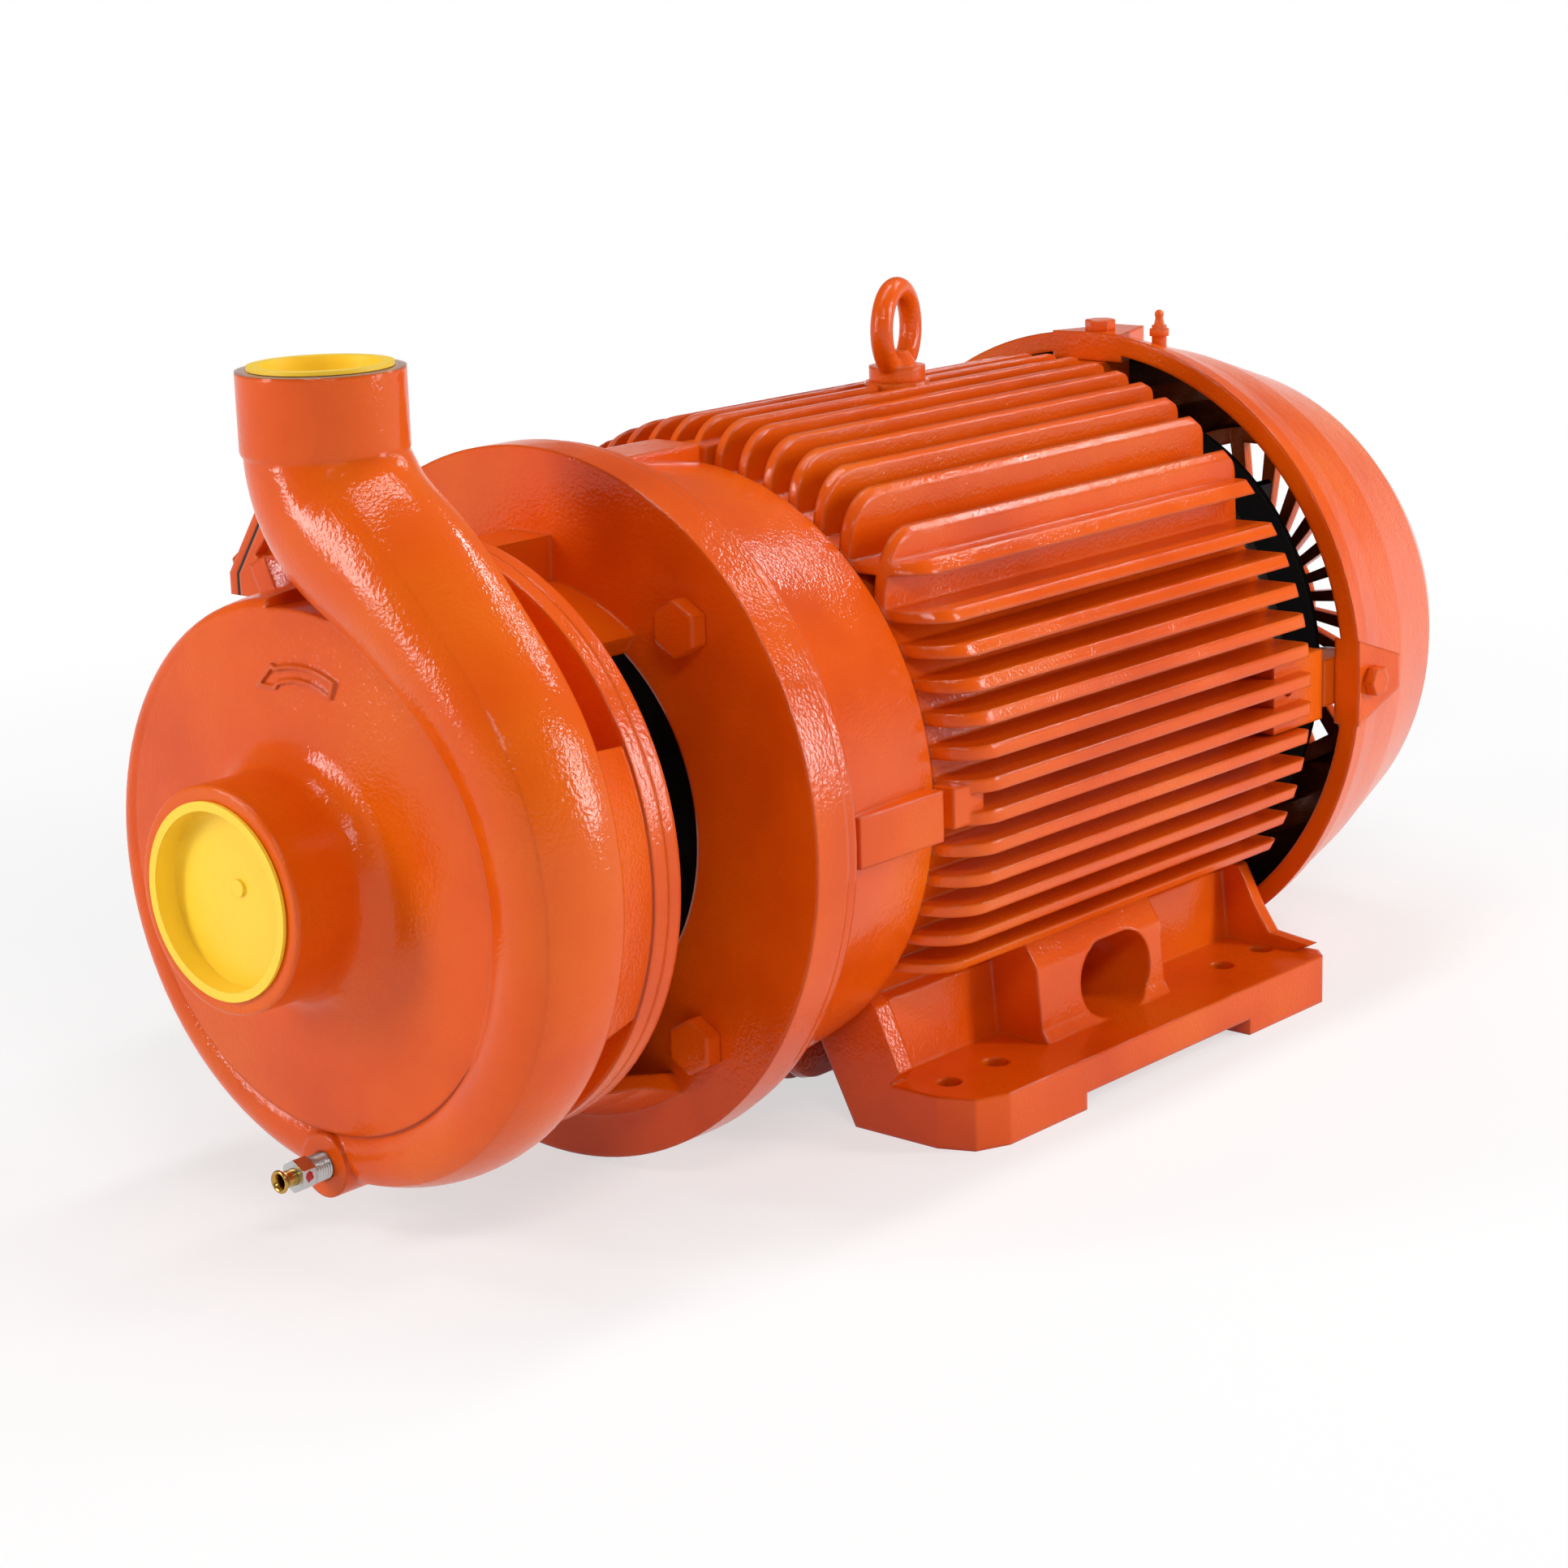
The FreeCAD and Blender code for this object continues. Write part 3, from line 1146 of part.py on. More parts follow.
# Grease nipple on the cowl's top, beside the upper ear.
nipple_height = math.sqrt(float(d.cowl_radius - 2.8) ** 2 - float(d.grease_side) ** 2) - 4
nipple_foot = Vector(float(d.grease_station), float(d.grease_side), nipple_height)
grease = Part.makeCylinder(float(d.grease_radius), 14, nipple_foot)
grease = grease.fuse(Part.makeCylinder(float(d.grease_radius) * 1.3, 4, nipple_foot + Vector(0, 0, 8)))
grease = grease.fuse(Part.makeCone(3, 1.8, 6, nipple_foot + Vector(0, 0, 14)))
grease = grease.fuse(Part.makeSphere(2.6, nipple_foot + Vector(0, 0, 20)))
new_feature("grease_nipple", grease.removeSplitter())
raise_pad(cowl, "grease_hole", "XY_Plane", d.cowl_radius - 30,
          lambda s: draw_circle(s, d.grease_station, d.grease_side, d.grease_radius + d.running_gap),
          40, cut=True, back=True)

# Motor frame: barrel with a nose band, vertical fins on top and below, level fins on the sides,
# feet and legs, side pads, rear lugs and the eyebolt boss.
def fin_envelope():
    """The turned outline that trims every fin: it climbs from the nose band and rounds off behind."""
    low = d.barrel_radius - 40
    return turned_round([
        (d.fin_front, low, 0), (d.fin_front, d.fin_tip_radius, d.fin_front_round),
        (d.fin_end, d.fin_tip_radius, d.fin_end_round), (d.fin_end, low, 0)])


def tapered_fin(middle, root, tip, level):
    """Drafted fin across a plane at middle, from root out to tip; level fins lie on the side."""
    half_tip, half_root = float(d.fin_tip) / 2, float(d.fin_foot) / 2
    corners = [(middle - half_root, root), (middle + half_root, root),
               (middle + half_tip, tip), (middle - half_tip, tip)]
    if level:
        corners = [(across, along) for along, across in corners]
    return prism_x(corners, d.fin_front, d.fin_end - d.fin_front)


def frame_fins():
    fins = []
    reach = float(d.fin_tip_radius) + 4
    root = 100.0
    pairs = int(driving_sizes["top_fin_pairs"])
    for place in range(-pairs, pairs + 1):
        fins.append(tapered_fin(place * float(d.top_fin_pitch), root, reach, False))
    for place in range(-3, 4):
        fins.append(tapered_fin(place * float(d.top_fin_pitch), -reach, -root, False))
    for side in (-1, 1):
        for place in range(int(driving_sizes["side_fin_pairs"])):
            for up in (-1, 1):
                middle = up * float(d.side_fin_pitch) * (place + 0.5)
                near, far = sorted((side * root, side * reach))
                fins.append(tapered_fin(middle, near, far, True))
        corner = side * float(d.corner_fin_offset)
        fins.append(tapered_fin(corner, 80.0, d.corner_fin_height, False))
        near, far = sorted((side * 90.0, side * float(d.corner_shelf_reach)))
        fins.append(tapered_fin(float(d.corner_shelf_height), near, far, True))
    return fins[0].fuse(fins[1:]).common(fin_envelope())


def foot_and_leg(side):
    """One long foot with its inner leg wall, end webs and the hollow bulge between its pockets."""
    low, top = float(foot_low), float(foot_low) + float(d.foot_thick)
    front, end = float(d.foot_front), float(d.foot_front) + float(d.foot_length)
    inner, outer = float(d.foot_inner), float(d.foot_half_width)
    corner = float(d.foot_corner)
    slant = corner * 0.3
    plate = prism_z([(front, inner), (front, outer - corner), (front + slant, outer - slant),
                     (front + corner, outer), (end - corner * 0.3, outer), (end, outer - corner * 0.3),
                     (end, inner)], low, d.foot_thick)
    wall = float(d.leg_wall)
    bulge = float(d.leg_bulge_face)
    leg = prism_x([(inner, low), (inner + wall + 4, low), (inner + wall + 4, top), (inner + wall, -112),
                   (inner - 24, -100), (inner - 24, -132)], front, end - front)
    front_web = prism_x([(inner, low), (inner + 29, top + 7), (inner + 14, -112), (inner - 6, -100)],
                        front, wall)
    rear_web = prism_x([(inner, low), (inner + 70, top + 4), (inner + 44, top + 7), (inner + 35, top + 20),
                        (inner + 23, -108), (inner - 6, -100)], end - wall + 3, wall - 3)
    middle = prism_x([(inner, low + 10), (bulge + 4, low + 10), (bulge + 4, top), (bulge, top + 6),
                      (bulge - 3, -112), (bulge - 16, -92), (inner + 5, -88)],
                     d.leg_bulge_front, d.leg_bulge_end - d.leg_bulge_front)
    shape = plate.fuse([leg, front_web, rear_web, middle])
    shape = shape.cut(block(d.foot_arch_front, d.foot_arch_end, inner - 20, outer + 1, low - 1,
                            low + float(d.foot_arch)))
    half_height = float(d.leg_window_height) / 2
    half_width = float(d.leg_window_width) / 2 - half_height
    centre = float(d.leg_bulge_front + d.leg_bulge_end) / 2 + 12
    height = top + half_height
    window = block(centre - half_width, centre + half_width, 60, bulge + 20, height - half_height,
                   height + half_height)
    for along in (centre - half_width, centre + half_width):
        window = window.fuse(Part.makeCylinder(half_height, bulge - 40, Vector(along, 60, height), Vector(0, 1, 0)))
    shape = shape.cut(window)
    for distance in (-float(d.foot_hole_half), -float(d.foot_hole_near),
                     float(d.foot_hole_near), float(d.foot_hole_half)):
        hole = Part.makeCylinder(float(d.foot_hole), float(d.foot_thick) + 2,
                                 Vector(float(d.flange_to_feet) + distance, float(d.foot_hole_half), low - 1))
        shape = shape.cut(hole)
    if side < 0:
        shape = shape.mirror(Vector(), Vector(0, 1, 0))
    return shape


def motor_frame():
    root = float(d.barrel_radius)
    profile = [(d.shield_rim_end, 0), (d.shield_rim_end, d.nose_band_radius),
               (d.nose_band_end, d.nose_band_radius - 10), (d.nose_band_end + 8, root),
               (d.fin_end, root), (d.fin_end, 0)]
    shape = turned_shape(profile)
    reach = float(d.pad_face)
    extras = [frame_fins()]
    for side in (-1, 1):
        near, far = sorted((side * 120.0, side * reach))
        extras.append(block(41, 103, near, far, -14.5, 10.5))
        extras.append(block(111, 134, near, far, -10.5, 9))
        near, far = sorted((side * 140.0, side * (reach - 2)))
        extras.append(block(d.lug_front, d.fin_end, near, far, -d.lug_half, d.lug_half))
        near, far = sorted((side * (root + 1), side * (reach - 2)))
        extras.append(block(d.lug_front, d.lug_end, near, far, -d.lug_half, d.lug_half))
    extras.append(block(44, 105, -15, 15, 120, reach - 2))
    extras.append(block(114, 137, -10.5, 10.5, 120, reach - 5))
    extras.append(block(d.lug_front, d.lug_end, -d.lug_half, d.lug_half, root + 1, reach - 2))
    boss = Part.makeCylinder(float(d.eye_boss_radius), float(d.eye_seat) - 120,
                             Vector(float(d.eye_station), 0, 120))
    extras.append(boss)
    extras.append(block(d.box_front + 8, d.box_front + d.box_length - 8, 100, d.box_root, d.box_low + 10, d.box_top - 14))
    extras += [foot_and_leg(1), foot_and_leg(-1)]
    shape = shape.fuse(extras)
    shape = shape.cut(tube(0, 600, d.frame_bore))
    shape = shape.cut(tube(d.fin_end, d.shield_web + 20, d.barrel_radius + d.bolt_gap))
    shape = shape.cut(Part.makeCylinder(float(d.eye_shank + d.running_gap), 40,
                                        Vector(float(d.eye_station), 0, float(d.eye_seat) - float(d.eye_shank_length) - 1)))
    for angle in (45, 135, 225, 315):
        front_hole = Part.makeCylinder(float(d.flange_bolt + d.running_gap), 24,
                                       polar_point(d.shield_rim_end - 1, d.flange_bolt_circle, angle),
                                       Vector(1, 0, 0))
        rear_hole = Part.makeCylinder(float(d.shield_bolt + d.running_gap), 20,
                                      polar_point(d.fin_end - 19, d.shield_bolt_circle, angle), Vector(1, 0, 0))
        shape = shape.cut(front_hole).cut(rear_hole)
    for side in (-1, 1):
        shape = shape.cut(Part.makeCylinder(3.4, 14, Vector(404, side * reach, 2.5), Vector(0, -side, 0)))
    wire_way = block(d.box_front + 28, d.box_front + d.box_length - 28, 90, d.box_root + 5,
                     d.box_low + 24, d.box_top - 18)
    return shape.cut(wire_way).removeSplitter()


new_feature("motor_frame", motor_frame())

# Lifting eyebolt, turned a little off the shaft's line.
def eyebolt():
    seat = float(d.eye_seat)
    collar = Part.makeCylinder(float(d.eye_collar_radius), float(d.eye_collar_height), Vector(0, 0, seat))
    neck = Part.makeCone(float(d.eye_collar_radius) * 0.72, float(d.eye_ring_wire), 8,
                         Vector(0, 0, seat + float(d.eye_collar_height)))
    shank = Part.makeCylinder(float(d.eye_shank), float(d.eye_shank_length), Vector(0, 0, seat - float(d.eye_shank_length)))
    ring = Part.makeTorus(float(d.eye_ring_radius), float(d.eye_ring_wire),
                          Vector(0, 0, seat + float(d.eye_ring_height)), Vector(0, 1, 0))
    shape = collar.fuse([neck, shank, ring])
    shape.rotate(Vector(), Vector(0, 0, 1), float(d.eye_turn))
    shape.translate(Vector(float(d.eye_station), 0, 0))
    return shape


new_feature("eyebolt", eyebolt())

# Terminal box on the far side: sloped body, gasket, cover, screws, block and conduit gland.
box_end = d.box_front + d.box_length
cover_y = d.box_reach - d.cover_thick - d.gasket_sheet


def box_outline(reach):
    """Closed outline of the box across the shaft: its outer side leans outwards going down."""
    return [(d.box_root, d.box_low), (reach, d.box_low), (reach, d.box_low + d.box_lip),
            (reach - d.box_slope, d.box_top), (d.box_root, d.box_top)]


terminal_box = new_body("terminal_box_blank")
nodes.remove(terminal_box)
raise_pad(terminal_box, "shell", "YZ_Plane", d.box_front, lambda s: draw_outline(s, box_outline(cover_y)),
          d.box_length)
raise_pad(terminal_box, "hollow", "YZ_Plane", d.box_front + d.box_end_wall, lambda s: draw_outline(s, [
    (d.box_root + d.box_wall, d.box_low + d.box_wall), (cover_y + 3, d.box_low + d.box_wall),
    (cover_y + 3, d.box_low + d.box_lip), (cover_y - d.box_slope + 3, d.box_top - d.box_wall),
    (d.box_root + d.box_wall, d.box_top - d.box_wall)]),
    d.box_length - d.box_end_wall * 2, cut=True, back=True)
raise_pad(terminal_box, "wire_way", "XZ_Plane", -cover_y, lambda s: draw_outline(s, [
    (d.box_front + 28, d.box_low + 24), (box_end - 28, d.box_low + 24),
    (box_end - 28, d.box_top - 18), (d.box_front + 28, d.box_top - 18)]),
    cover_y - d.box_root + 5, cut=True, back=True)
raise_pad(terminal_box, "front_recess", "YZ_Plane", d.box_front, lambda s: draw_outline(s, [
    (cover_y - 20, d.box_low + 19), (cover_y - 14.5, d.box_low + 24), (cover_y - 40, d.box_top - 8),
    (d.box_root + 14, d.box_top - 8), (d.box_root + 14, d.box_low + 19)]), d.box_recess, cut=True, back=True)


cover_rise = float(d.box_top - d.box_low - d.box_lip)
cover_slope = math.atan2(float(d.box_slope), cover_rise)
cover_length = math.hypot(float(d.box_slope), cover_rise)
cover_normal = Vector(0, math.cos(cover_slope), math.sin(cover_slope))


def cover_point(along, up):
    """Point on the cover's leaning face, at a station and a distance up the slope."""
    foot = Vector(float(along), float(cover_y + d.gasket_sheet + d.cover_thick), float(d.box_low + d.box_lip))
    return foot + Vector(0, -math.sin(cover_slope), math.cos(cover_slope)) * up


screw_inset = d.box_end_wall / 2
screw_places = [(along, up) for along in (d.box_front + screw_inset, box_end - screw_inset)
                for up in (7, cover_length - 7)]
new_feature("cover_screws", Part.makeCompound(
    [hex_bolt(cover_point(along, up), cover_normal, d.cover_screw, d.screw_reach)
     for along, up in screw_places]))


def screw_holes(piece, label):
    """Cuts the cover screws' holes through a piece that lies under the cover."""
    holes = doc.addObject("Part::Feature", f"{label}_holes")
    holes.Shape = Part.makeCompound([Part.makeCylinder(
        float(d.cover_screw + d.running_gap), float(d.screw_reach) + 1,
        cover_point(along, up) + cover_normal * 0.5, -cover_normal) for along, up in screw_places])
    on_shaft(holes)
    cut = doc.addObject("Part::Cut", label)
    cut.Label = label
    cut.Base = piece
    cut.Tool = holes
    nodes.append(cut)
    doc.recompute()


def sloped_sheet(label, start, thick):
    """Flat sheet that lies along the box's leaning side between two offsets from it."""
    body = new_body(f"{label}_blank")
    nodes.remove(body)
    near = cover_y + start
    raise_pad(body, "sheet", "YZ_Plane", d.box_front, lambda s: draw_outline(s, [
        (near, d.box_low), (near + thick, d.box_low), (near + thick, d.box_low + d.box_lip),
        (near + thick - d.box_slope, d.box_top), (near - d.box_slope, d.box_top),
        (near, d.box_low + d.box_lip)]), d.box_length)
    screw_holes(body, label)


sloped_sheet("terminal_gasket", as_size(0), d.gasket_sheet)
sloped_sheet("terminal_cover", d.gasket_sheet, d.cover_thick)

terminal_block = new_body("terminal_block")
raise_pad(terminal_block, "base", "YZ_Plane", d.box_front + 12, lambda s: draw_outline(s, [
    (d.box_root + d.box_wall, d.box_low + 9), (d.box_root + d.box_wall + 30, d.box_low + 9),
    (d.box_root + d.box_wall + 30, d.box_low + 21), (d.box_root + d.box_wall, d.box_low + 21)]),
    d.box_length - 24)
for place in range(driving_sizes["barrier_count"]):
    raise_pad(terminal_block, f"barrier_{place}", "YZ_Plane", d.box_front + 14 + d.barrier_pitch * place,
              lambda s: draw_outline(s, [
                  (d.box_root + d.box_wall + 4, d.box_low + 20), (d.box_root + d.box_wall + 26, d.box_low + 20),
                  (d.box_root + d.box_wall + 26, d.box_low + 30), (d.box_root + d.box_wall + 4, d.box_low + 30)]), 3)

conduit_hub = new_body("conduit_hub")
hub_x, hub_y = d.box_front + 30, d.box_root + 62


def draw_hub(sketch, radius):
    draw_circle(sketch, hub_x, hub_y, radius)


raise_pad(conduit_hub, "thread", "XY_Plane", d.box_low - 12, lambda s: draw_hub(s, d.gland_radius), 20)
raise_pad(conduit_hub, "collar", "XY_Plane", d.box_low - 12, lambda s: draw_hub(s, d.gland_radius + 5),
          12 - d.running_gap)
raise_pad(conduit_hub, "bore", "XY_Plane", d.box_low - 14, lambda s: draw_hub(s, d.gland_radius - 4), 30,
          cut=True, back=True)
raise_pad(terminal_box, "conduit_hole", "XY_Plane", d.box_low - 2,
          lambda s: draw_hub(s, d.gland_radius + d.running_gap), 20, cut=True, back=True)
screw_holes(terminal_box, "terminal_box")

for made in doc.Objects:
    troubled = [word for word in made.State if word in ("Invalid", "Error")]
    if troubled:
        raise SystemExit(f"{made.Label} failed: {troubled}")
for made in nodes:
    if made.Shape.isNull() or not made.Shape.isValid() or not made.Shape.Solids:
        raise SystemExit(f"{made.Label} has no sound shape")

os.makedirs("parts", exist_ok=True)
for made in nodes:
    made.Shape.exportStep(f"parts/{made.Label}.step")
    print(made.Label, len(made.Shape.Solids), round(made.Shape.Volume / 1000, 1), "cm3")
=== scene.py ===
import math
import random

import bmesh
import bpy
from mathutils import Matrix, Vector


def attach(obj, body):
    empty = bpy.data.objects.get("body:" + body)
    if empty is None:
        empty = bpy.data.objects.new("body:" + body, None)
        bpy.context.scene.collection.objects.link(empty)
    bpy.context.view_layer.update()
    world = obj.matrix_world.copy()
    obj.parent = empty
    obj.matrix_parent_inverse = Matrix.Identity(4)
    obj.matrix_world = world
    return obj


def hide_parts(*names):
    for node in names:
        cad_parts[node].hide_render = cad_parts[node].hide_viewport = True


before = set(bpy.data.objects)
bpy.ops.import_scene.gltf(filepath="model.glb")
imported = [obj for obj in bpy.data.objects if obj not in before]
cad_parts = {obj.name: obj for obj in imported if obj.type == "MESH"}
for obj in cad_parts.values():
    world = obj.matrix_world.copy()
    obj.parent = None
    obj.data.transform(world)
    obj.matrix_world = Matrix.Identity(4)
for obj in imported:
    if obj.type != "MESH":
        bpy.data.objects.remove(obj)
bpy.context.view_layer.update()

# Close-coupled centrifugal pump in glossy orange enamel. All lengths are in metres.
# The shaft lies along x, 177.8 mm above the floor, with the pump end towards -x.
shaftHeight = 0.1778
flangeToFeet = 0.2767
mm = 0.001
random.seed(7)


def linearColour(hexCode):      # sRGB hex to the linear values that the shaders take
    parts = [int(hexCode[i:i + 2], 16) / 255 for i in (1, 3, 5)]
    return tuple(c / 12.92 if c <= 0.04045 else ((c + 0.055) / 1.055) ** 2.4 for c in parts) + (1.0,)


def addNode(tree, kind, settings=None, links=None):
    node = tree.nodes.new(kind)
    for name, value in (settings or {}).items():
        if isinstance(name, int) or name in node.inputs:
            node.inputs[name].default_value = value
        else:
            setattr(node, name, value)
    for name, source in (links or {}).items():
        tree.links.new(source, node.inputs[name])
    return node


def emptyTree(owner):       # the node tree of a material or world, without its default nodes
    owner.use_nodes = True
    owner.node_tree.nodes.clear()
    return owner.node_tree


def newMaterial(name):
    material = bpy.data.materials.new(name)
    tree = emptyTree(material)
    output = addNode(tree, "ShaderNodeOutputMaterial")
    shader = addNode(tree, "ShaderNodeBsdfPrincipled")
    tree.links.new(shader.outputs["BSDF"], output.inputs["Surface"])
    place = addNode(tree, "ShaderNodeTexCoord")
    return material, tree, shader, place.outputs["Object"]


def perMetre(millimetres):
    return 1000.0 / millimetres     # a texture's scale from the real size of its grain


def larger(tree, one, two):
    return addNode(tree, "ShaderNodeMath", {"operation": "MAXIMUM"}, {0: one, 1: two}).outputs[0]


def seenRays(tree):     # 1 for what the camera sees itself or through glass, 1 for what it sees reflected
    path = addNode(tree, "ShaderNodeLightPath")
    looked = larger(tree, path.outputs["Is Camera Ray"], path.outputs["Is Transmission Ray"])
    return looked, path.outputs["Is Glossy Ray"]


# The camera stands where the photograph was taken from.
camera = {
    "place": (-1.4019, -1.1549, 0.5918),
    "yaw": -48.44, "pitch": 14.18, "roll": -1.72,
    "lens": 78.47, "sensor": 36.0,          # millimetres
    "sightLimit": 200,
}


def makeCamera():
    yaw, pitch, roll = (math.radians(camera[angle]) for angle in ("yaw", "pitch", "roll"))
    back = Vector((math.sin(yaw) * math.cos(pitch), -math.cos(yaw) * math.cos(pitch), math.sin(pitch)))
    right = Vector((math.cos(yaw), math.sin(yaw), 0))
    up = back.cross(right)
    across = right * math.cos(roll) + up * math.sin(roll)
    upright = up * math.cos(roll) - right * math.sin(roll)
    data = bpy.data.cameras.new("photoCamera")
    data.lens = camera["lens"]
    data.sensor_width = camera["sensor"]
    data.sensor_fit = "HORIZONTAL"
    data.clip_end = camera["sightLimit"]
    eye = bpy.data.objects.new("photoCamera", data)
    eye.matrix_world = Matrix((
        (across.x, upright.x, back.x, camera["place"][0]),
        (across.y, upright.y, back.y, camera["place"][1]),
        (across.z, upright.z, back.z, camera["place"][2]),
        (0, 0, 0, 1)))
    bpy.context.collection.objects.link(eye)
    bpy.context.scene.camera = eye


makeCamera()
bpy.context.scene.view_settings.view_transform = "Standard"
print("camera placed")


# A wide paper floor, a pale sky and five soft boxes.
pumpMiddle = (0.0, 0.0, 0.2)
pumpFront = (-0.1, 0.0, 0.2)
studio = {
    "floorRadius": 70.0, "floorSides": 96,
    "floorColour": "#F4F4F4",
    "whiteNear": 0.62,                      # share of paper white round the pump
    "whiteFrom": 0.4, "whiteTo": 1.3,       # all white from the second radius on
    "skyColour": "#FFFFFF",
    "skyHorizon": 1.0, "skyTop": 0.15,      # strength as a light and in reflections
    "skyFade": 0.22,                        # sine of the height at which the top's strength is reached
    # name: centre, aimed at, width, height, power in watts
    "boxes": {
        "leftWindow": ((-1.99, 0.93, 0.95), pumpFront, 0.4, 1.1, 22),
        "rightWindow": ((1.22, -1.82, 0.9), pumpMiddle, 0.38, 1.2, 30),
        "rightHigh": ((1.7, -0.35, 1.7), pumpMiddle, 0.9, 0.12, 9),
        "topLong": ((0.0, 0.1, 2.2), pumpMiddle, 1.8, 0.25, 18),
        "cameraFill": ((-1.5, -1.7, 1.9), pumpFront, 0.9, 0.35, 17),
    },
}


def makeSky():      # white to look at; as a light and in reflections it dims towards the top
    world = bpy.data.worlds.new("studioSky")
    tree = emptyTree(world)
    way = addNode(tree, "ShaderNodeTexCoord")
    split = addNode(tree, "ShaderNodeSeparateXYZ", links={"Vector": way.outputs["Generated"]})
    fade = addNode(tree, "ShaderNodeMapRange", {"From Min": 0.0, "From Max": studio["skyFade"],
                                                "To Min": studio["skyHorizon"], "To Max": studio["skyTop"]},
                   {"Value": split.outputs["Z"]})
    looked, _ = seenRays(tree)
    sky = addNode(tree, "ShaderNodeBackground", {"Color": linearColour(studio["skyColour"])},
                  {"Strength": larger(tree, fade.outputs[0], looked)})
    output = addNode(tree, "ShaderNodeOutputWorld")
    tree.links.new(sky.outputs[0], output.inputs["Surface"])
    bpy.context.scene.world = world


def makeFloor():        # takes light and shadow near the pump, and looks white farther out
    material = bpy.data.materials.new("paperFloor")
    tree = emptyTree(material)
    paper = addNode(tree, "ShaderNodeBsdfDiffuse", {"Color": linearColour(studio["floorColour"])})
    glow = addNode(tree, "ShaderNodeEmission", {"Color": (1, 1, 1, 1), "Strength": 1.0})
    place = addNode(tree, "ShaderNodeTexCoord")
    distance = addNode(tree, "ShaderNodeVectorMath", {"operation": "LENGTH"}, {0: place.outputs["Object"]})
    away = addNode(tree, "ShaderNodeMapRange", {"interpolation_type": "SMOOTHSTEP",
                                                "From Min": studio["whiteFrom"],
                                                "From Max": studio["whiteTo"],
                                                "To Min": studio["whiteNear"]},
                   {"Value": distance.outputs["Value"]})
    share = addNode(tree, "ShaderNodeMath", {"operation": "MULTIPLY"},
                    {0: away.outputs[0], 1: larger(tree, *seenRays(tree))})
    blend = addNode(tree, "ShaderNodeMixShader", links={0: share.outputs[0], 1: paper.outputs[0],
                                                        2: glow.outputs[0]})
    output = addNode(tree, "ShaderNodeOutputMaterial")
    tree.links.new(blend.outputs[0], output.inputs["Surface"])

    mesh = bpy.data.meshes.new("studioFloor")
    shape = bmesh.new()
    bmesh.ops.create_circle(shape, cap_ends=True, segments=studio["floorSides"],
                             radius=studio["floorRadius"])
    shape.to_mesh(mesh)
    shape.free()
    mesh.materials.append(material)
    floor = bpy.data.objects.new("studioFloor", mesh)
    bpy.context.collection.objects.link(floor)


def makeBoxes():
    for name, (centre, aim, width, height, power) in studio["boxes"].items():
        data = bpy.data.lights.new(name, "AREA")
        data.shape = "RECTANGLE"
        data.size = width
        data.size_y = height
        data.energy = power
        box = bpy.data.objects.new(name, data)
        box.location = centre
        box.rotation_euler = (Vector(aim) - Vector(centre)).to_track_quat("-Z", "Y").to_euler()
        bpy.context.collection.objects.link(box)


makeSky()
makeFloor()
makeBoxes()
print("studio lit")


def shaftDistance(tree, place):     # how far a point is from the shaft's axis, and the way out from it
    split = addNode(tree, "ShaderNodeSeparateXYZ", links={"Vector": place})
    level = addNode(tree, "ShaderNodeMath", {"operation": "SUBTRACT", 1: shaftHeight}, {0: split.outputs["Z"]})
    flat = addNode(tree, "ShaderNodeCombineXYZ", links={"Y": split.outputs["Y"], "Z": level.outputs[0]})
    return addNode(tree, "ShaderNodeVectorMath", {"operation": "LENGTH"}, {0: flat.outputs[0]}), flat


# Glossy alkyd enamel sprayed over sand-cast iron: the sand's grain still shows under the paint,
# the paint pools and rounds every edge, and its skin has a faint orange peel.
orangeEnamel = {
    "colour": "#DC5303", "shade": "#CB4502", "bright": "#E26306",
    # sizes of the pattern and height of its relief in mm, and how strongly the relief shows
    "sandGrain": 1.9, "sandRelief": 0.9, "sandStrength": 0.44,
    "lumpGrain": 9.0, "lumpRelief": 0.8, "lumpStrength": 0.22,
    "patchGrain": 45.0, "tintGrain": 90.0, "edgeRound": 3.0,
    "thinPatch": 0.3,                       # how much sand grain is left where the paint is thick
    "roughness": (0.34, 0.48), "specular": 0.04, "coat": 0.55, "coatRoughness": 0.03,
}

# Castings whose orange stops somewhere: the collar's top is bare machined metal, and the dark places are painted
# shade in hollows and recesses. Each entry: how the place is told, its colour, where it ends and the orange
# paint begins.
bareAndShadedRegions = {
    "orangeEnamel": None,
    "enamelPaintedShadeInside": ("facing", "#141210", -0.02, -0.01),       # painted shade: faces turned towards the shaft, inside the cowl, made near black
    "enamelPaintedShadeMouth": ("radius", "#141210", 0.1018, 0.1022),       # painted shade: nearer the shaft than the mouth, the hollow seen through the bracket's windows
    "enamelPaintedShadeCore": ("radius", "#1B1512", 0.1495, 0.1505),        # painted shade: behind the fan, nearer the shaft than 150 mm
    "enamelFacedCollar": ("height", "#A8806E", 0.4055, 0.4053),     # the collar's machined top
}


def bareAndShadeShare(tree, place, region):     # 0 on the bare metal and on the painted shade, 1 on the orange paint
    kind, _, start, end = region
    if kind == "height":
        split = addNode(tree, "ShaderNodeSeparateXYZ", links={"Vector": place})
        value = split.outputs["Z"]
    else:
        distance, flat = shaftDistance(tree, place)
        value = distance.outputs["Value"]
        if kind == "facing":
            facing = addNode(tree, "ShaderNodeNewGeometry")
            value = addNode(tree, "ShaderNodeVectorMath", {"operation": "DOT_PRODUCT"},
                            {0: flat.outputs[0], 1: facing.outputs["True Normal"]}).outputs["Value"]
    return addNode(tree, "ShaderNodeMapRange", {"From Min": start, "From Max": end}, {"Value": value}).outputs[0]


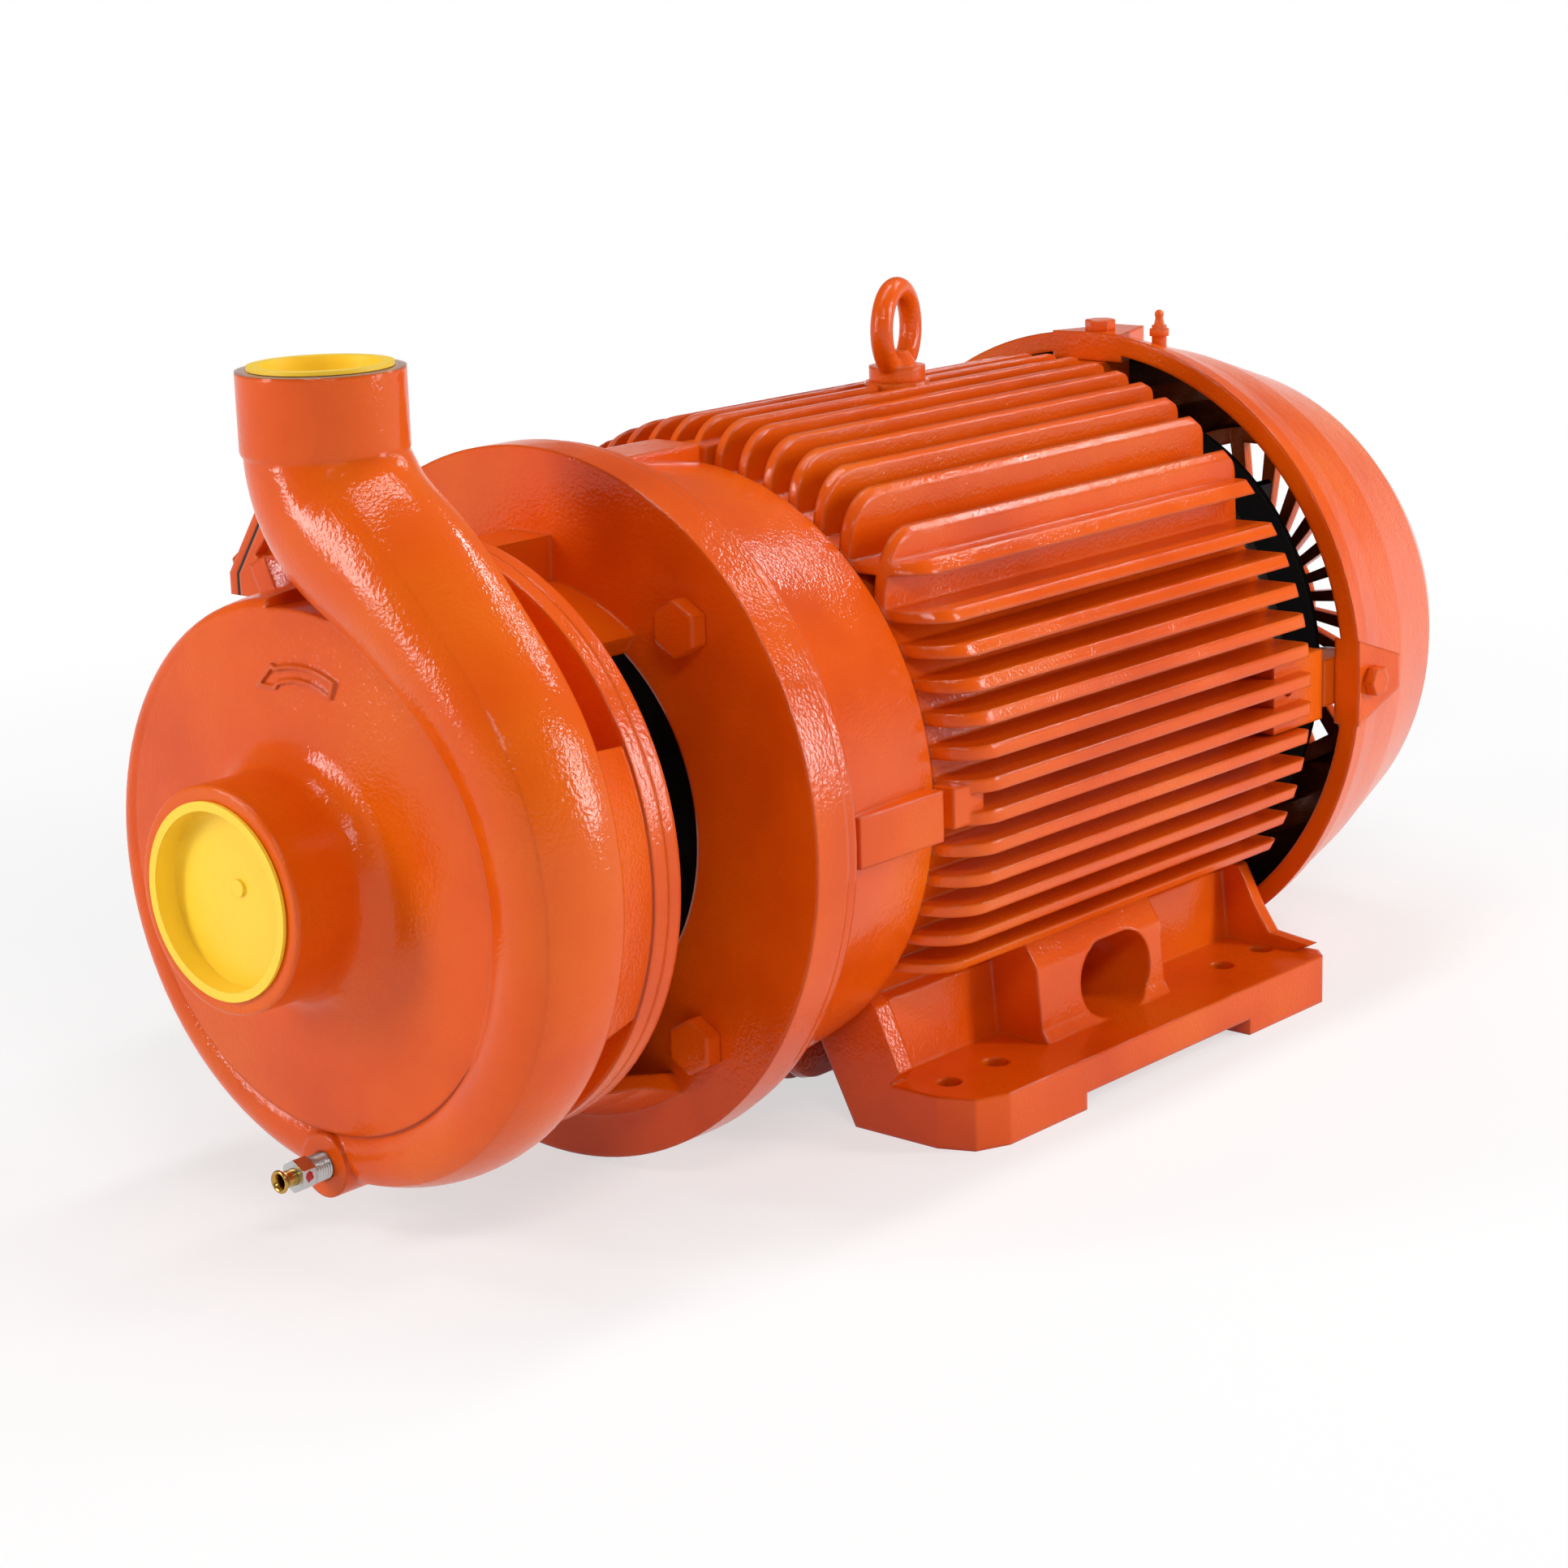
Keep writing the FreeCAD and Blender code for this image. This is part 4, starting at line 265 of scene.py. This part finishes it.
def enamelColour(tree, place):
    look = orangeEnamel
    tint = addNode(tree, "ShaderNodeTexNoise", {"Scale": perMetre(look["tintGrain"]), "Detail": 3.0},
                   {"Vector": place})
    ramp = addNode(tree, "ShaderNodeValToRGB", links={"Fac": tint.outputs["Fac"]})
    stops = ramp.color_ramp.elements
    stops[0].position, stops[0].color = 0.25, linearColour(look["shade"])
    stops[1].position, stops[1].color = 0.8, linearColour(look["bright"])
    stops.new(0.5).color = linearColour(look["colour"])
    return ramp.outputs["Color"]


def makeEnamel(name):
    look = orangeEnamel
    region = bareAndShadedRegions[name]
    material, tree, shader, place = newMaterial(name)
    colour = enamelColour(tree, place)
    if region:
        # where the share drops to 0 the region's colour replaces the orange: bare metal on the collar top,
        # painted shade in the hollows
        mix = addNode(tree, "ShaderNodeMix", {"data_type": "RGBA"})
        mix.inputs[6].default_value = linearColour(region[1])
        tree.links.new(bareAndShadeShare(tree, place, region), mix.inputs[0])
        tree.links.new(colour, mix.inputs[7])
        colour = mix.outputs[2]
    tree.links.new(colour, shader.inputs["Base Color"])
    sand = addNode(tree, "ShaderNodeTexNoise", {"Scale": perMetre(look["sandGrain"]), "Detail": 2.0,
                                                "Roughness": 0.5}, {"Vector": place})
    patches = addNode(tree, "ShaderNodeTexNoise", {"Scale": perMetre(look["patchGrain"]), "Detail": 2.0},
                      {"Vector": place})
    cover = addNode(tree, "ShaderNodeMapRange", {"From Min": 0.35, "From Max": 0.65,
                                                 "To Min": look["thinPatch"]}, {"Value": patches.outputs["Fac"]})
    grain = addNode(tree, "ShaderNodeMath", {"operation": "MULTIPLY"}, {0: sand.outputs["Fac"],
                                                                        1: cover.outputs[0]})
    lumps = addNode(tree, "ShaderNodeTexNoise", {"Scale": perMetre(look["lumpGrain"]), "Detail": 1.0},
                    {"Vector": place})
    rounded = addNode(tree, "ShaderNodeBevel", {"samples": 6, "Radius": look["edgeRound"] * mm})
    first = addNode(tree, "ShaderNodeBump", {"Strength": look["sandStrength"],
                                               "Distance": look["sandRelief"] * mm},
                    {"Height": grain.outputs[0], "Normal": rounded.outputs["Normal"]})
    second = addNode(tree, "ShaderNodeBump", {"Strength": look["lumpStrength"],
                                                "Distance": look["lumpRelief"] * mm},
                     {"Height": lumps.outputs["Fac"], "Normal": first.outputs["Normal"]})
    tree.links.new(second.outputs["Normal"], shader.inputs["Normal"])
    tree.links.new(second.outputs["Normal"], shader.inputs["Coat Normal"])
    smooth, rough = look["roughness"]
    gloss = addNode(tree, "ShaderNodeMapRange", {"To Min": smooth, "To Max": rough},
                    {"Value": patches.outputs["Fac"]})
    tree.links.new(gloss.outputs[0], shader.inputs["Roughness"])
    shader.inputs["Specular IOR Level"].default_value = look["specular"]
    shader.inputs["Coat Weight"].default_value = look["coat"]
    shader.inputs["Coat Roughness"].default_value = look["coatRoughness"]
    return material


# Turned, ground or plated metal; the tool marks are finer than a millimetre.
metals = {
    "groundSteel": {"colour": "#B9BBBD", "roughness": 0.28, "mark": 0.9},
    "zincPlatedSteel": {"colour": "#C9CCCB", "roughness": 0.3, "mark": 0.7},
    "turnedBrass": {"colour": "#C9A053", "roughness": 0.22, "mark": 0.6},
    "turnedBronze": {"colour": "#A8763E", "roughness": 0.35, "mark": 0.8},
    "oiledLaminations": {"colour": "#6B6D70", "roughness": 0.45, "mark": 1.0},
    "blackenedSteel": {"colour": "#5C5853", "roughness": 0.38, "mark": 0.8},
    "asCastIron": {"colour": "#55504B", "roughness": 0.62, "mark": 2.5},
}


def unevenColour(tree, place, hexCode, darker, size):     # a colour that drifts to a darker tone
    cloud = addNode(tree, "ShaderNodeTexNoise", {"Scale": perMetre(size), "Detail": 3.0}, {"Vector": place})
    tint = addNode(tree, "ShaderNodeMix", {"data_type": "RGBA"})
    tint.inputs[6].default_value = tuple(c * darker for c in linearColour(hexCode)[:3]) + (1,)
    tint.inputs[7].default_value = linearColour(hexCode)
    tree.links.new(cloud.outputs["Fac"], tint.inputs[0])
    return tint.outputs[2], cloud.outputs["Fac"]


def roundedGrain(tree, place, size, strength, relief, edge):    # surface grain over softened edges, in mm
    skin = addNode(tree, "ShaderNodeTexNoise", {"Scale": perMetre(size), "Detail": 2.0}, {"Vector": place})
    rounded = addNode(tree, "ShaderNodeBevel", {"samples": 4, "Radius": edge * mm})
    return addNode(tree, "ShaderNodeBump", {"Strength": strength, "Distance": relief * mm},
                   {"Height": skin.outputs["Fac"], "Normal": rounded.outputs["Normal"]}).outputs["Normal"]


def makeMetal(name):
    look = metals[name]
    material, tree, shader, place = newMaterial(name)
    colour, cloud = unevenColour(tree, place, look["colour"], darker=0.8, size=12.0)
    rough = addNode(tree, "ShaderNodeMapRange", {"To Min": look["roughness"] - 0.08,
                                                 "To Max": look["roughness"] + 0.12}, {"Value": cloud})
    tree.links.new(colour, shader.inputs["Base Color"])
    tree.links.new(rough.outputs[0], shader.inputs["Roughness"])
    skin = roundedGrain(tree, place, size=look["mark"], strength=0.12, relief=0.2, edge=0.4)
    tree.links.new(skin, shader.inputs["Normal"])
    shader.inputs["Metallic"].default_value = 1.0
    return material


# Moulded plastics, rubber, varnish and ceramic: soft gloss over a slightly uneven skin.
mouldings = {
    "yellowPolyethylene": {"colour": "#FCD232", "roughness": 0.42, "grain": 4.0, "strength": 0.05},
    "blackPolyamide": {"colour": "#1A1A1B", "roughness": 0.5, "grain": 1.5, "strength": 0.12},
    "nitrileRubber": {"colour": "#161616", "roughness": 0.72, "grain": 2.0, "strength": 0.15},
    "varnishedWinding": {"colour": "#7A3B1C", "roughness": 0.3, "grain": 3.0, "strength": 0.6},
    "lappedCeramic": {"colour": "#E9E4DA", "roughness": 0.15, "grain": 3.0, "strength": 0.02},
    "redSealant": {"colour": "#B5121B", "roughness": 0.35, "grain": 2.0, "strength": 0.3},
}


def makeMoulding(name):
    look = mouldings[name]
    material, tree, shader, place = newMaterial(name)
    colour, _ = unevenColour(tree, place, look["colour"], darker=0.93, size=30.0)
    tree.links.new(colour, shader.inputs["Base Color"])
    skin = roundedGrain(tree, place, size=look["grain"], strength=look["strength"], relief=0.4, edge=0.5)
    tree.links.new(skin, shader.inputs["Normal"])
    shader.inputs["Roughness"].default_value = look["roughness"]
    return material


finishes = {name: makeMetal(name) for name in metals}
finishes.update({name: makeMoulding(name) for name in mouldings})
finishes.update({name: makeEnamel(name) for name in bareAndShadedRegions})
print("materials mixed:", len(finishes))

nodeFinish = {
    "suction_cap": "yellowPolyethylene", "discharge_cap": "yellowPolyethylene",
    "drain_nut": "zincPlatedSteel", "volute_casing": "enamelFacedCollar",
    "impeller": "asCastIron", "wear_ring": "turnedBronze", "seal_plate": "asCastIron",
    "inner_bearing_cap": "asCastIron", "casing_gasket": "nitrileRubber",
    "terminal_gasket": "nitrileRubber", "slinger": "nitrileRubber",
    "stator_windings": "varnishedWinding", "stator_core": "oiledLaminations",
    "rotor_core": "oiledLaminations", "cooling_fan": "blackPolyamide", "terminal_block": "blackPolyamide",
    "seal_seat": "lappedCeramic", "bearing_cap_screws": "blackenedSteel",
    # The cowl and both endshields take enamels with painted shade in their hollows.
    "fan_cowl": "enamelPaintedShadeInside", "drive_endshield": "enamelPaintedShadeMouth",
    "fan_endshield": "enamelPaintedShadeCore",
}
steelNodes = ("shaft", "impeller_key", "impeller_screw", "impeller_washer", "seal_head", "seal_spring",
              "fan_clip", "wave_spring", "drive_bearing_balls", "drive_bearing_inner_ring",
              "drive_bearing_outer_ring", "fan_bearing_balls", "fan_bearing_inner_ring",
              "fan_bearing_outer_ring")
nodeFinish.update({name: "groundSteel" for name in steelNodes})


def dressNodes():
    for name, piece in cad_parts.items():
        piece.data.materials.clear()
        piece.data.materials.append(finishes[nodeFinish.get(name, "orangeEnamel")])
    print("nodes dressed:", len(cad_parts))


dressNodes()


def addPiece(name, shape, finish):    # a finished mesh that stands still with the motor
    for face in shape.faces:
        face.smooth = True
    mesh = bpy.data.meshes.new(name)
    shape.to_mesh(mesh)
    shape.free()
    mesh.materials.append(finishes[finish])
    piece = bpy.data.objects.new(name, mesh)
    bpy.context.collection.objects.link(piece)
    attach(piece, "stator")
    return piece


def ringOf(shape, station, radius, centreHeight, steps, radiusAt=None):
    ring = []
    for step in range(steps):
        turn = 2 * math.pi * step / steps
        reach = radiusAt(turn) if radiusAt else radius
        ring.append(shape.verts.new((station, reach * math.sin(turn), centreHeight + reach * math.cos(turn))))
    return ring


def joinRings(shape, rings, closed):    # skins neighbouring rings, and the last to the first if closed
    pairs = list(zip(rings, rings[1:])) + ([(rings[-1], rings[0])] if closed else [])
    for one, two in pairs:
        for step in range(len(one)):
            after = (step + 1) % len(one)
            shape.faces.new((one[step], one[after], two[after], two[step]))
    bmesh.ops.recalc_face_normals(shape, faces=shape.faces)


# Drain cock under the volute: a threaded nipple in the boss, a hex nut and a flared brass nozzle.
drain = {
    "height": shaftHeight - 139.3 * mm,
    "bossFace": -152 * mm - flangeToFeet,
    "inBoss": 14 * mm, "out": 10.5 * mm,
    "crest": 6.6 * mm, "threadDepth": 0.75 * mm, "pitch": 1.41 * mm, "bore": 3.0 * mm,
    "endTaper": 0.9,
    "steps": 48, "rowsPerTurn": 8,
}


def makeThreadedNipple():
    shape = bmesh.new()
    start, end = drain["bossFace"] + drain["inBoss"], drain["bossFace"] - drain["out"]
    rows = int((start - end) / drain["pitch"] * drain["rowsPerTurn"])
    rings = [ringOf(shape, start, drain["bore"], drain["height"], drain["steps"])]
    for row in range(rows + 1):
        station = start + (end - start) * row / rows
        taper = drain["endTaper"] if row in (0, rows) else 1.0

        def helix(turn):
            phase = (station / drain["pitch"] + turn / (2 * math.pi)) % 1.0
            return (drain["crest"] - drain["threadDepth"] * abs(2 * phase - 1)) * taper

        rings.append(ringOf(shape, station, 0, drain["height"], drain["steps"], helix))
    rings.append(ringOf(shape, end, drain["bore"], drain["height"], drain["steps"]))
    joinRings(shape, rings, True)
    piece = addPiece("threadedNipple", shape, "zincPlatedSteel")
    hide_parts("drain_nipple")


nozzle = {
    "inner": -163 * mm - flangeToFeet,
    # distance out from the nut's inner end and radius, both in mm: neck, flare, rolled lip, mouth
    "profile": ((0, 3.0), (0, 4.0), (9.4, 4.0), (12.2, 4.0), (13.2, 4.15), (14.1, 4.6), (14.8, 5.2),
                (15.3, 5.55), (15.9, 5.6), (16.35, 5.35), (16.5, 4.9), (16.4, 4.3), (15.6, 3.6),
                (14.2, 3.05), (12.0, 3.0)),
}


def makeFlaredNozzle():
    shape = bmesh.new()
    rings = [ringOf(shape, nozzle["inner"] - out * mm, radius * mm, drain["height"], drain["steps"])
             for out, radius in nozzle["profile"]]
    joinRings(shape, rings, True)
    piece = addPiece("flaredNozzle", shape, "turnedBrass")
    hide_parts("drain_nozzle")


sealant = {
    "centre": (-166.8 * mm - flangeToFeet, -7.0 * mm, 39.2 * mm),
    "across": 2.6 * mm, "rise": 3.0 * mm, "thick": 0.35 * mm,
    "corners": 18, "uneven": (0.75, 1.1),
    "crown": 0.6, "crownThick": 0.8,        # the raised middle's share of the width and of the thickness
}


def makeSealant():      # a smear of thread sealant on the nut's flat that looks at the camera
    shape = bmesh.new()
    x, y, z = sealant["centre"]
    corners, crown = sealant["corners"], sealant["crown"]
    crownFace = y - sealant["thick"] * sealant["crownThick"]
    middle = shape.verts.new((x, y - sealant["thick"], z))
    inner, outer = [], []
    for step in range(corners):
        turn = 2 * math.pi * step / corners
        reach = random.uniform(*sealant["uneven"])
        across = sealant["across"] * reach * math.cos(turn)
        rise = sealant["rise"] * reach * math.sin(turn)
        inner.append(shape.verts.new((x + across * crown, crownFace, z + rise * crown)))
        outer.append(shape.verts.new((x + across, y, z + rise)))
    joinRings(shape, [inner, outer], False)
    for step in range(corners):
        shape.faces.new((middle, inner[step], inner[(step + 1) % corners]))
    bmesh.ops.recalc_face_normals(shape, faces=shape.faces)
    addPiece("sealantSmear", shape, "redSealant")


makeThreadedNipple()
makeFlaredNozzle()
makeSealant()
print("drain cock detailed")
